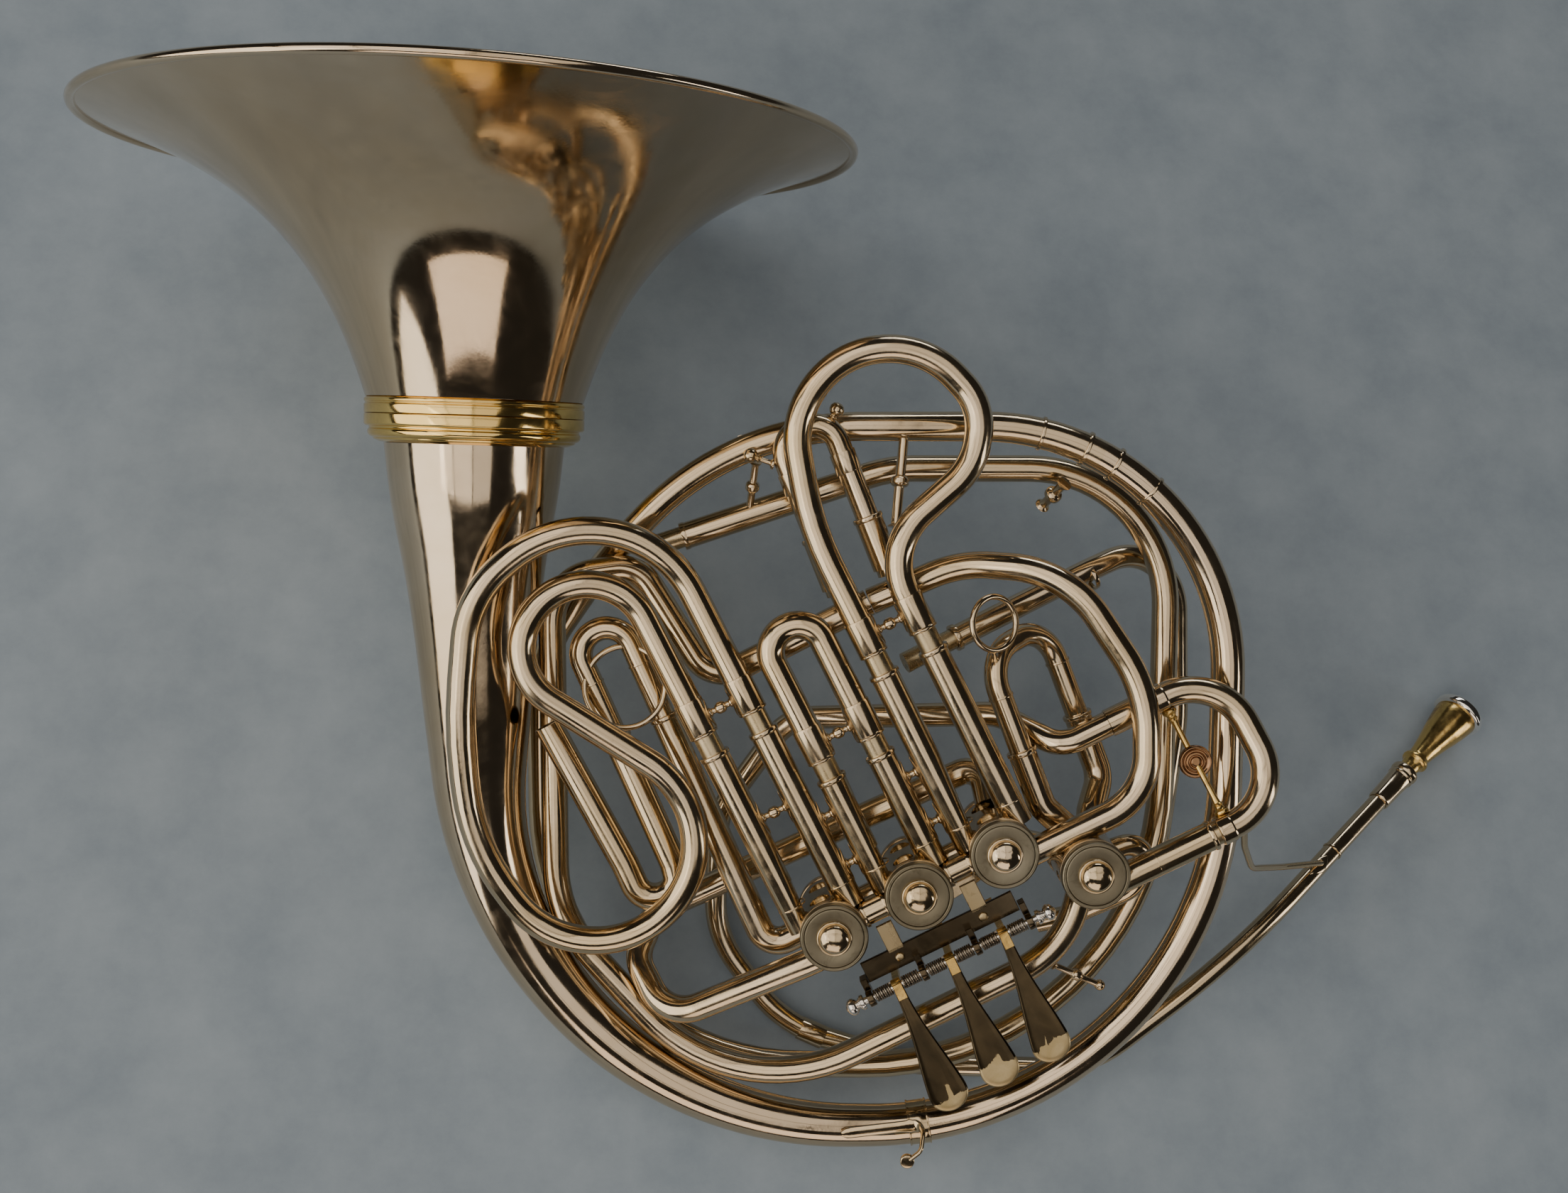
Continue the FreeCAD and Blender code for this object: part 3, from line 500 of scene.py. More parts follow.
STEEL = worn_metal("bright_steel", (0.78, 0.75, 0.70), (0.66, 0.60, 0.50), (0.35, 0.28, 0.20),
                   0.12, 0.28, 0.35)
SPRING_WIRE = worn_metal("spring_wire", (0.30, 0.27, 0.22), (0.22, 0.18, 0.13),
                         (0.08, 0.06, 0.04), 0.25, 0.4, 0.4)


def worn_touch(name):
    """Lever plate: dark tarnish rubbed through to pale brass at the finger end."""
    material, nodes, links = new_material(name)
    shader = nodes["Principled BSDF"]
    shader.inputs["Metallic"].default_value = 1.0
    wear = nodes.new("ShaderNodeAttribute")
    wear.attribute_name = "wear"
    coords = nodes.new("ShaderNodeTexCoord").outputs["Object"]
    edge = noise(nodes, links, coords, 110, 6, 0.6, 0.8)
    shifted = nodes.new("ShaderNodeMath")
    shifted.operation = "MULTIPLY_ADD"
    shifted.inputs[1].default_value = 0.9
    links.new(edge.outputs["Fac"], shifted.inputs[0])
    links.new(wear.outputs["Fac"], shifted.inputs[2])
    mask = ramp(nodes, [(0.98, (0, 0, 0)), (1.06, (1, 1, 1))])
    links.new(shifted.outputs["Value"], mask.inputs["Fac"])
    patch = noise(nodes, links, coords, 60, 7, 0.65, 0.6)
    dark = ramp(nodes, [(0.35, (0.055, 0.043, 0.026)), (0.7, (0.11, 0.082, 0.045))])
    pale = ramp(nodes, [(0.35, (0.70, 0.56, 0.32)), (0.7, (0.50, 0.38, 0.18))])
    for colours in (dark, pale):
        links.new(patch.outputs["Fac"], colours.inputs["Fac"])
    mix = nodes.new("ShaderNodeMix")
    mix.data_type = "RGBA"
    links.new(mask.outputs["Color"], mix.inputs["Factor"])
    links.new(dark.outputs["Color"], mix.inputs["A"])
    links.new(pale.outputs["Color"], mix.inputs["B"])
    links.new(mix.outputs["Result"], shader.inputs["Base Color"])
    gloss = ramp(nodes, [(0.0, (0.20,) * 3), (1.0, (0.36,) * 3)])
    links.new(mask.outputs["Color"], gloss.inputs["Fac"])
    links.new(gloss.outputs["Color"], shader.inputs["Roughness"])
    return material


TOUCH = worn_touch("lever_touch")


def cork_material():
    material, nodes, links = new_material("cork")
    shader = nodes["Principled BSDF"]
    coords = nodes.new("ShaderNodeTexCoord").outputs["Object"]
    grain = noise(nodes, links, coords, 900, 6, 0.7)
    colours = ramp(nodes, [(0.35, (0.20, 0.11, 0.05)), (0.6, (0.52, 0.34, 0.18))])
    links.new(grain.outputs["Fac"], colours.inputs["Fac"])
    links.new(colours.outputs["Color"], shader.inputs["Base Color"])
    shader.inputs["Roughness"].default_value = 0.85
    bump = nodes.new("ShaderNodeBump")
    bump.inputs["Strength"].default_value = 0.5
    bump.inputs["Distance"].default_value = 0.0004
    links.new(grain.outputs["Fac"], bump.inputs["Height"])
    links.new(bump.outputs["Normal"], shader.inputs["Normal"])
    return material


CORK = cork_material()


# ---------------------------------------------------------------- making pieces
def piece(name, shape, body, material, replaces=(), sharp=35):
    points, faces = shape
    mesh = bpy.data.meshes.new(name)
    mesh.from_pydata([at_floor(p) for p in points], [], faces)
    mesh.validate()
    mesh.materials.append(material)
    mesh.polygons.foreach_set("use_smooth", [True] * len(mesh.polygons))
    mesh.set_sharp_from_angle(angle=math.radians(sharp))
    thing = bpy.data.objects.new(name, mesh)
    bpy.context.scene.collection.objects.link(thing)
    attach(thing, body)
    if replaces:
        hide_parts(*replaces)
    return thing


# ---------------------------------------------------------------- bell
bell_axis = V(math.sin(BELL_LEAN), math.cos(BELL_LEAN), 0)


def flare(s):
    return BELL_RADIUS * (1 + s / BELL_SCALE) ** -BELL_POWER


def about_bell(profile, sides=160, soften=0.25):
    """Profile of (distance below the rim, radius) turned about the bell axis."""
    return turned(RIM_CENTRE, bell_axis * -1, profile, sides, soften)


outside = []
inside = []
for k in range(49):
    s = BELL_LENGTH * (k / 48) ** 1.25
    slope = -BELL_POWER * flare(s) / (BELL_SCALE + s)
    length = math.hypot(1, slope)
    outside.append((s, flare(s)))
    inside.append((s + slope * BELL_WALL / length, flare(s) - BELL_WALL / length))
inside[-1] = (BELL_LENGTH, flare(BELL_LENGTH) - BELL_WALL)
piece("bell_flare_metal", about_bell(outside + inside[::-1], 224, 0), "bell", BODY_SILVER,
      ["bell_flare"])

rim = torus(RIM_CENTRE, bell_axis, BELL_RADIUS - 0.2, 1.9, 224, 20)
piece("bell_rim_roll", rim, "bell", BODY_SILVER, ["bell_rim_wire"])

upper_ring = [(106.02, 42.1), (106.02, 44.6), (106.9, 45.5), (107.9, 45.6), (108.3, 45.1), (108.8, 45.1),
              (109.2, 45.6), (112.8, 45.6), (112.8, 42.1)]
piece("bell_ring_upper", about_bell(upper_ring), "bell", RING_BRASS, ["bell_ring"])
lower_ring = [(107.0, 40.4), (107.0, 42.0), (112.95, 42.0), (112.95, 45.3), (113.3, 45.6), (117.2, 45.6),
              (117.9, 45.0), (118.2, 43.5), (119.0, 43.5), (119.5, 43.9), (120.3, 44.1), (121.4, 43.9),
              (122.2, 43.2), (122.7, 41.9), (123.4, 41.7), (124.0, 40.2), (124.6, 38.6),
              (124.6, 36.8), (118.0, 40.4)]
piece("body_ring_lower", about_bell(lower_ring), "body", RING_BRASS, ["body_ring"])

# ---------------------------------------------------------------- body: one big turn of taper
BODY_TAPER = [(0, 37.5), (23, 34.8), (53, 29.5), (83, 25.7), (114, 22.8), (145, 19.8),
              (175, 17.2), (205, 15.0), (234, 13.4), (262, 12.4), (298, 11.2), (331, 10.3),
              (391, 9.2), (457, 8.5), (538, 7.9), (641, 7.3), (760, 6.9), (872, 6.3),
              (1200, 5.5)]
TAIL_END = 420.0
BOW_END = 800.0
body_line = route([RIM_CENTRE - bell_axis * 124.6, V(-131.3, 30), V(-131.5, -234), V(190, -234),
                   V(190, 72), V(-22, 72), V(-66, 26)], [600, 161, 159, 147, 125], 6.0)
body_lengths = lengths(body_line)


def taper_radius(distance):
    """Smooth reading of the taper, with slopes shared between neighbouring spans."""
    table = BODY_TAPER
    slopes = []
    for k in range(len(table)):
        a = table[max(0, k - 1)]
        b = table[min(len(table) - 1, k + 1)]
        slopes.append((b[1] - a[1]) / (b[0] - a[0]))
    for k in range(len(table) - 1):
        (d0, r0), (d1, r1) = table[k], table[k + 1]
        if distance <= d1:
            span = d1 - d0
            t = (distance - d0) / span
            return (r0 * (1 + 2 * t) * (1 - t) ** 2 + slopes[k] * span * t * (1 - t) ** 2
                    + r1 * t * t * (3 - 2 * t) + slopes[k + 1] * span * t * t * (t - 1))
    return table[-1][1]


def point_on(line, distances, distance):
    for k in range(len(line) - 1):
        if distance <= distances[k + 1]:
            t = (distance - distances[k]) / (distances[k + 1] - distances[k])
            return line[k].lerp(line[k + 1], t), (line[k + 1] - line[k]).normalized()
    return line[-1], (line[-1] - line[-2]).normalized()


def stretch_of(line, distances, first, last):
    """The part of a sampled line between two distances, and each point's own distance."""
    picked = [point_on(line, distances, first)[0]]
    marks = [first]
    for p, d in zip(line, distances):
        if first + 0.5 < d < last - 0.5:
            picked.append(p)
            marks.append(d)
    picked.append(point_on(line, distances, last)[0])
    marks.append(last)
    return picked, marks


def body_length_of(first, last, wall, sides):
    line, marks = stretch_of(body_line, body_lengths, first, last)
    radii = [taper_radius(d) for d in marks]
    return sweep(line, radii, radii[0] - wall, sides)


piece("bell_tail_metal", body_length_of(0, TAIL_END, 0.7, 112), "body", BODY_SILVER,
      ["bell_tail"])
piece("body_bow_metal", body_length_of(TAIL_END, BOW_END, 0.6, 72), "body", BODY_SILVER,
      ["body_bow"])
piece("body_branch_metal", body_length_of(BOW_END, body_lengths[-1], 0.6, 56), "body", SILVER,
      ["body_top_branch"])


def body_band(distance, width, proud=0.95):
    centre, direction = point_on(body_line, body_lengths, distance)
    radius = taper_radius(distance)
    return band(centre, direction, width, radius + proud, radius - 0.3)


piece("body_bands", joined(body_band(TAIL_END, 9, 0.6), body_band(TAIL_END - 4.2, 0.8),
                           body_band(TAIL_END + 4.2, 0.8), body_band(BOW_END - 7, 1.6),
                           body_band(BOW_END + 7, 1.6), body_band(BOW_END + 27, 1.4, 0.7),
                           body_band(BOW_END - 26, 1.4, 0.7)), "body", SILVER,
      ["body_ferrules"])

# ---------------------------------------------------------------- plain tubes behind the front
piece("second_turn_tube", tube([V(-66.4, 25.6, -0.1), V(-79, 12, -14), V(-109, -30, -27),
                                V(-109, -216, -27), V(167, -216, -20), V(167, 54, -18),
                                V(46, 54, -18), V(-44, 24.6, -14.3)],
                               [20, 60, 118, 132, 118, 60]),
      "body", SILVER, ["second_turn"])
TURN_END = V(-44, 24.6, -14.3)
end_way = V(-90, -29.4, 3.7).normalized()
piece("second_turn_inner", bar(TURN_END - end_way * 8, TURN_END + end_way * 13, 4.65), "body",
      STOCKING, ["second_turn_stub"])
piece("fourth_valve_branch_tube",
      tube([VALVE_4 + V(1.5, -8, BB_STOREY), V(120.5, -151.6, 9), V(-21, -225, 4),
            V(-99, -140), V(-99, 8), V(-62, 13, 1), V(-31, -36, 3), V(36, -2, 4)],
           [45, 75, 60, 22, 14, 14]), "body", SILVER, ["fourth_valve_branch"])
piece("inner_loop_tube",
      cased(route([V(36.7, -1.65, 4), V(74, 15, 8), V(116, 13, 24), V(149, -36, F_STOREY),
                   V(150, -80.5, F_STOREY), at_valve(VALVES[2], -8, 6, F_STOREY)],
                  [50, 45, 60, 28], 2.0), BOW_R, BORE_R),
      "body", SILVER, ["inner_loop"])
piece("first_valve_crook_tube",
      tube([at_valve(VALVE_1, -8.6, -5, F_STOREY), at_valve(VALVE_1, -8.6, -16, F_STOREY),
            V(-50, -179, 18), V(-64.5, -158), V(-57, -141, -12), V(85, -73.5, -6),
            V(88.6, -94, 8)], [60, 20, 16, 14, 8]), "body", SILVER,
      ["first_valve_crook"])
piece("fourth_valve_return_tube",
      tube([at_valve(VALVE_4, -4, 8, 6), V(157, -103, 5), V(153, -127, -2), V(126, -142, -9),
            V(112, -146, -12)], [12, 14, 10], 4.6, 4.1), "body", SILVER,
      ["fourth_valve_return"])
piece("back_branch_tube",
      tube([V(73, -19, -7), V(133, 9, -22), V(176, 26, -40), V(178, -60, -38),
            V(168, -120, -30)], [60, 26, 60], 5.2, 4.7), "body", SILVER,
      ["back_branch"])
BRANCH_START = V(73, -19, -7)
branch_way = V(60, 28, -15).normalized()
piece("back_branch_inner", bar(BRANCH_START - branch_way * 24, BRANCH_START + branch_way * 8, 4.55),
      "body", STOCKING, ["back_branch_stub"])

# ---------------------------------------------------------------- leadpipe and mouthpiece
PIPE_END = PIPE_FOOT + PIPE_DIR * 114
LEAD_SPLIT = 330.0
lead_line = route([PIPE_END, PIPE_FOOT, V(140, -224, -38), V(60, -222, -38), V(0, -203, -38),
                   V(-32, -160, -38), V(-30, -103, -38), V(2, -58, -32), V(92, -51, -3),
                   at_valve(VALVE_4, 47.5, 12, 14), at_valve(VALVE_4, 47.5, 34, 14)],
                  [200, 60, 70, 60, 50, 30, 24, 24, 14], 12.0)
lead_lengths = lengths(lead_line)


def lead_radius(distance):
    return float(np.interp(distance, [0, 200, LEAD_SPLIT, lead_lengths[-1]], [4.3, 4.6, 4.9, 5.4]))


def lead_tube(first, last):
    line, marks = stretch_of(lead_line, lead_lengths, first, last)
    radii = [lead_radius(d) for d in marks]
    return sweep(line, radii, radii[0] - 0.5, 40)


def lead_band(distance, width, proud=0.5):
    centre, direction = point_on(lead_line, lead_lengths, distance)
    radius = lead_radius(distance)
    return band(centre, direction, width, radius + proud, radius - 0.2)


piece("leadpipe_tube", lead_tube(0, LEAD_SPLIT), "body", SILVER, ["leadpipe"])
piece("leadpipe_return_tube", lead_tube(LEAD_SPLIT, lead_lengths[-1]), "body", SILVER,
      ["leadpipe_return"])
piece("leadpipe_bands", joined(lead_band(LEAD_SPLIT, 12), lead_band(40, 1.2)), "body", SILVER)
receiver = turned(PIPE_END - PIPE_DIR * 2, PIPE_DIR, [
    (0, 4.35), (0, 4.9), (0.8, 5.25), (3, 5.3), (12, 5.5), (18.0, 5.75), (18.6, 6.3), (19.6, 6.3),
    (20.2, 5.9), (21.0, 6.5), (22.0, 6.7), (23.2, 6.7), (24, 6.4), (24, 4.5), (2.1, 4.35)], 64, 0.2)
piece("receiver_socket", receiver, "body", SILVER, ["mouthpiece_receiver"])

CUP_START = PIPE_END + PIPE_DIR * 4
shank = turned(CUP_START, PIPE_DIR, [
    (0, 2.4), (0, 3.5), (0.4, 3.62), (18.0, 4.18), (22.0, 4.6), (24.2, 5.2), (24.8, 6.1),
    (25.4, 6.4), (26.6, 6.4), (27.2, 6.0), (27.8, 5.2), (29, 5.1), (33, 5.6), (38.5, 6.5),
    (44, 7.6), (49, 8.7), (54, 9.6), (58, 10.2), (61.5, 10.6), (61.5, 8.9), (57, 8.4), (52, 7.4),
    (46, 5.4), (40, 3.4), (32, 2.2)], 80, 0.2)
piece("mouthpiece_cup_brass", shank, "mouthpiece", AGED_BRASS, ["mouthpiece_cup"])
lip = turned(CUP_START + PIPE_DIR * 61.55, PIPE_DIR, [
    (0, 8.9), (0, 11.1), (0.5, 12.0), (1.2, 12.5), (3.2, 12.5), (4.2, 12.2), (4.9, 11.5), (5.2, 10.7),
    (5.1, 9.9), (4.7, 9.2), (3.9, 8.8), (2.5, 8.75)], 80, 0.3)
piece("mouthpiece_lip", lip, "mouthpiece", SILVER_PLATE, ["mouthpiece_rim"])

# ---------------------------------------------------------------- rotary valves
for index in range(4):
    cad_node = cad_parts["valve_casing_%d" % (index + 1)]
    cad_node.data.materials.clear()
    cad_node.data.materials.append(SILVER)
casing_rings = []
for valve in VALVES:
    foot = valve + V(0, 0, CASING_LOW)
    casing_rings.append(turned(foot, UP, [(0.0, 13.0), (0.0, 14.0), (1.6, 14.0), (1.9, 13.7),
                                          (2.1, 14.0), (3.6, 14.0), (3.9, 13.6), (3.9, 13.0)], 72, 0.15))
    casing_rings.append(turned(valve + V(0, 0, CASING_TOP - 3.4), UP, [
        (0, 13.0), (0, 13.9), (1.0, 14.0), (1.2, 13.75), (1.4, 14.0), (3.3, 14.0), (3.3, 13.0)],
        72, 0.12))
piece("casing_rings", joined(*casing_rings), "body", SILVER)

cap_plates = []
cap_rims = []
cap_knobs = []
for valve in VALVES:
    top = valve + V(0, 0, CASING_TOP)
    cap_plates.append(turned(top, UP, [
        (0.05, 0), (0.05, 12.3), (3.85, 12.3), (4.2, 12.05), (4.25, 11.6), (4.2, 7.0), (0.4, 6.9)],
        96, 0.1))
    cap_rims.append(turned(top, UP, [
        (0.05, 12.3), (0.05, 13.95), (1.1, 14.1), (1.35, 13.9), (1.6, 14.1), (3.4, 14.1),
        (4.15, 13.75), (4.4, 13.3), (4.3, 12.95), (4.4, 12.65), (4.1, 12.3)], 96, 0.12))
    cap_knobs.append(turned(top, UP, [
        (4.0, 0), (4.0, 7.35), (4.55, 7.35), (5.0, 7.15), (5.2, 6.85), (5.15, 6.45), (5.0, 6.25),
        (6.3, 6.0), (6.9, 5.6), (7.4, 4.9), (7.9, 3.7), (8.3, 2.2), (8.5, 1.0), (8.55, 0)], 72, 0.15))
piece("valve_cap_plates", joined(*cap_plates), "body", GREY_CAP, ["valve_caps"])
piece("valve_cap_rims", joined(*cap_rims), "body", GREY_CAP)
piece("valve_cap_knobs", joined(*cap_knobs), "body", SILVER)

bearing = []
for valve in VALVES:
    bearing.append(turned(valve + V(0, 0, CASING_LOW), UP * -1, [
        (0.05, 2.6), (0.05, 13.4), (0.8, 13.4), (1.0, 13.15), (1.2, 13.4), (2.7, 13.4), (3.4, 12.8),
        (3.5, 7.4), (3.6, 6.4), (4.1, 5.9), (6.2, 5.6), (6.5, 5.3), (6.5, 2.6)], 80, 0.15))
piece("bearing_plate_discs", joined(*bearing), "body", SILVER,
      ["bearing_plates"])

for index, valve in enumerate(VALVES):
    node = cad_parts["rotor_%d" % (index + 1)]
    node.data.materials.clear()
    node.data.materials.append(STOCKING)
    tip = valve + V(0, 0, CASING_LOW - 13.8)
    screw = turned(tip, UP * -1, [(0, 0), (0, 2.3), (0.2, 2.45), (0.2, 3.4), (1.4, 3.4), (1.9, 3.0),
                                  (2.2, 2.0), (2.3, 0)], 40, 0.15)
    knob = valve - LEG * 12.0 + V(0, 0, CASING_LOW - 13.0)
    cup = turned(knob, UP * -1, [(0, 0), (0, 2.0), (0.8, 2.1), (1.4, 1.6), (1.7, 0)], 32, 0.15)
    piece("rotor_screws_%d" % (index + 1), joined(screw, cup), "rotor_" +
          ("one", "two", "three", "four")[index], STEEL)

bumpers = []
for valve in VALVES:
    for angle in (-26, 110):
        reach = LEG * (-10 * math.cos(math.radians(angle)))
        reach = reach + ROW * (10 * math.sin(math.radians(angle)))
        bumpers.append(turned(valve + reach + V(0, 0, CASING_LOW - 3.7), UP * -1, [
            (0, 0), (0, 2.1), (0.5, 2.18), (7.2, 2.18), (7.9, 1.7), (8.0, 0)], 24, 0.2))
piece("cork_bumper_plugs", joined(*bumpers), "body", CORK, ["cork_bumpers"])

joint_rings = joined(band(TURN_END + end_way * -1.0, end_way, 2.2, 6.1, 5.3),
                     band(BRANCH_START + branch_way * 1.2, branch_way, 2.4, 6.0, 5.1),
                     band(V(133, 9, -22) + V(2, -2.6, 0), branch_way, 2.0, 5.9, 5.0))
piece("joint_rings", joint_rings, "body", SILVER)

knuckles = []
for first, second in ((0, 1), (1, 2)):
    for z in (F_STOREY, BB_STOREY):
        a = VALVES[first] + V(0, 0, z)
        b = VALVES[second] + V(0, 0, z)
        knuckles.append(cased(route([a, b], [], 4), 5.6, 4.9))
        for valve, way in ((VALVES[first], 1), (VALVES[second], -1)):
            centre = valve + ROW * (way * 14.3) + V(0, 0, z)
            knuckles.append(band(centre, ROW, 1.6, 6.3, 5.5))
low_line = route([VALVES[2] + V(0, 0, BB_STOREY), VALVES[3] + V(0, 0, BB_STOREY)], [], 4)
knuckles.append(cased(low_line, 5.6, 4.9))
piece("valve_knuckle_tubes", joined(*knuckles), "body", SILVER,
      ["valve_knuckles"])


# ---------------------------------------------------------------- slides
def saddle(centre, axis, facing, radius, length=15.0, reach=0.62, thickness=0.38):
    """Pointed-oval plate bent round a tube where a stay is soldered on."""
    axis = Vector(axis).normalized()
    facing = (Vector(facing) - axis * Vector(facing).dot(axis)).normalized()
    side = axis.cross(facing)
    along = 18
    around = 10
    points = []
    grids = []
    for lift in (0.02, thickness):
        grid = []
        for k in range(along + 1):
            t = -1 + 2 * k / along
            widest = reach * max(0.02, (1 - abs(t) ** 1.5))
            row = []
            for n in range(around + 1):
                u = -1 + 2 * n / around
                angle = u * widest
                edge = lift if lift < 0.1 else lift * (1 - 0.75 * abs(u) ** 6) * (1 - 0.75 * abs(t) ** 8)
                r = radius + max(0.03, edge)
                row.append(len(points))
                points.append(Vector(centre) + axis * (t * length / 2) + facing * (r * math.cos(angle))
                              + side * (r * math.sin(angle)))
            grid.append(row)
        grids.append(grid)
    low, high = grids
    faces = []
    for k in range(along):
        for n in range(around):
            faces.append((high[k][n], high[k][n + 1], high[k + 1][n + 1], high[k + 1][n]))
            faces.append((low[k][n], low[k + 1][n], low[k + 1][n + 1], low[k][n + 1]))
    for k in range(along):
        faces.append((low[k][0], high[k][0], high[k + 1][0], low[k + 1][0]))
        faces.append((high[k][around], low[k][around], low[k + 1][around], high[k + 1][around]))
    for n in range(around):
        faces.append((high[0][n], low[0][n], low[0][n + 1], high[0][n + 1]))
        faces.append((low[along][n], high[along][n], high[along][n + 1], low[along][n + 1]))
    return points, faces


def stay(p, q, axis_p, axis_q, radius=1.3, foot_radius=SLEEVE_R, length=15.0):
    """Turned stay between two tubes, with a saddle on each."""
    p = Vector(p)
    q = Vector(q)
    axis = (q - p).normalized()
    span = (q - p).length
    profile = [(0.1, 0), (0.1, radius * 1.7), (0.7, radius * 1.5), (1.3, radius)]
    middle = span / 2
    if span > 6:
        profile += [(middle - 2.4, radius), (middle - 1.9, radius * 1.55), (middle - 1.0, radius * 1.9),
                    (middle + 1.0, radius * 1.9), (middle + 1.9, radius * 1.55), (middle + 2.4, radius)]
    profile += [(span - 1.3, radius), (span - 0.7, radius * 1.5), (span - 0.1, radius * 1.7),
                (span - 0.1, 0)]
    rod = turned(p, axis, profile, 28, 0.2)
    shapes = [rod]
    if foot_radius:
        shapes.append(saddle(p - axis * foot_radius, axis_p, axis, foot_radius, length))
        shapes.append(saddle(q + axis * foot_radius, axis_q, axis * -1, foot_radius, length))
    return joined(*shapes)


F_RINGS = [88.3, 57.9, 87.4]
F_DEPTH = [62.0, 34.0, 60.0]
F_FERRULES = [(96.5, 112.5, 104.0), (65.5, 81.5, 73.0), (95.5, 111.5, 104.0)]
SPAN = {1: "first", 2: "second", 3: "third"}


def mouth_ring(centre, axis, outer=6.5, inner=5.6):
    """Rounded ring at the mouth of an outer slide tube."""
    return turned(Vector(centre) - Vector(axis).normalized() * 2.3, axis, [
        (0, inner), (0, 6.05), (0.35, 6.3), (0.7, outer), (1.9, outer), (2.25, 6.2), (2.3, 5.6)],
        48, 0.2)


sleeves = []
for index in range(3):
    valve = VALVES[index]
    ring = F_RINGS[index]
    left = route([at_valve(valve, ring, -PORT, F_STOREY), at_valve(valve, 1.5, -PORT, F_STOREY),
                  at_valve(valve, 1.5, -4, F_STOREY)], 5.6)
    right = route([at_valve(valve, ring, PORT, F_STOREY), at_valve(valve, 2, PORT, F_STOREY)], [], 5)
    for line in (left, right):
        sleeves.append(cased(line, SLEEVE_R, SLEEVE_BORE))
    for b in (-PORT, PORT):
        sleeves.append(mouth_ring(at_valve(valve, ring, b, F_STOREY), LEG))
        sleeves.append(band(at_valve(valve, 16.0, b, F_STOREY), LEG, 0.7, SLEEVE_R + 0.16,
                            SLEEVE_R - 0.2, 0.15))
piece("f_slide_sleeve_tubes", joined(*sleeves), "body", SILVER,
      ["f_slide_sleeves"])

for index in range(3):
    valve = VALVES[index]
    ring = F_RINGS[index]
    low, high, stay_at = F_FERRULES[index]
    stockings = []
    ferrules = []
    for b in (-PORT, PORT):
        stockings.append(bar(at_valve(valve, ring - F_DEPTH[index], b, F_STOREY),
                             at_valve(valve, low + 6.0, b, F_STOREY), STOCKING_R, STOCKING_BORE))
        foot = at_valve(valve, low, b, F_STOREY)
        ferrules.append(turned(foot, LEG, [
            (0, STOCKING_R + 0.02), (0, 5.7), (0.3, 6.25), (1.0, 6.3), (1.35, 5.95), (1.6, FERRULE_R),
            (high - low - 0.9, FERRULE_R), (high - low - 0.5, 6.05), (high - low - 0.1, 5.95),
            (high - low, BOW_R + 0.02), (6.1, BOW_R + 0.02), (6.1, STOCKING_R + 0.02)], 48, 0.12))
    ferrules.append(stay(at_valve(valve, stay_at, FERRULE_R - PORT, F_STOREY),
                         at_valve(valve, stay_at, PORT - FERRULE_R, F_STOREY), LEG, LEG, 1.3,
                         FERRULE_R, 13.0))
    body = "f%d_slide" % (index + 1)
    piece("f%d_stockings" % (index + 1), joined(*stockings), body, STOCKING,
          ["f%d_slide_legs" % (index + 1)])
    piece("f%d_ferrules" % (index + 1), joined(*ferrules), body, SILVER)

v1, v2, v3 = VALVES[0], VALVES[1], VALVES[2]
f1_path = [at_valve(v1, 102.65, -PORT, F_STOREY), at_valve(v1, 163.3, -PORT, F_STOREY),
           V(-88, 10, 31.5), V(-107, -7, 34.5), V(-105.5, -32.5, 35), V(-39.5, -76, 30),
           V(-35, -114, 30), V(-61.5, -141.5, 30), V(-99.5, -139.5, 31), V(-128, -101, 33),
           V(-132.5, -50, 36.5), V(-126.5, 5, 39), V(-91, 34, 39), at_valve(v1, 173.5, PORT, F_STOREY),
           at_valve(v1, 102.65, PORT, F_STOREY)]
f2_path = [at_valve(v2, 71.65, -PORT, F_STOREY), at_valve(v2, 121.5, -PORT, F_STOREY),
           at_valve(v2, 121.5, PORT, F_STOREY), at_valve(v2, 71.65, PORT, F_STOREY)]
f3_path = [at_valve(v3, 101.65, -PORT, F_STOREY), at_valve(v3, 153.6, -PORT, F_STOREY),
           V(3, 76, F_STOREY), V(24, 102, F_STOREY), V(57.5, 103.5, F_STOREY), V(80.5, 79.5, F_STOREY),
           V(76.5, 55, F_STOREY), at_valve(v3, 133.5, PORT, F_STOREY),
           at_valve(v3, 101.65, PORT, F_STOREY)]
F_CROOKS = [(f1_path, [26, 26, 26, 26, 41, 41, 41, 41, 100, 200, 47, 47, 47]), (f2_path, 11.1),
            (f3_path, [120, 37, 37, 37, 37, 30, 28])]
for index, (points, bends) in enumerate(F_CROOKS):
    piece("f%d_crook" % (index + 1), tube(points, bends, sides=48), "f%d_slide" % (index + 1),
          SILVER, ["f%d_slide_crook" % (index + 1)])

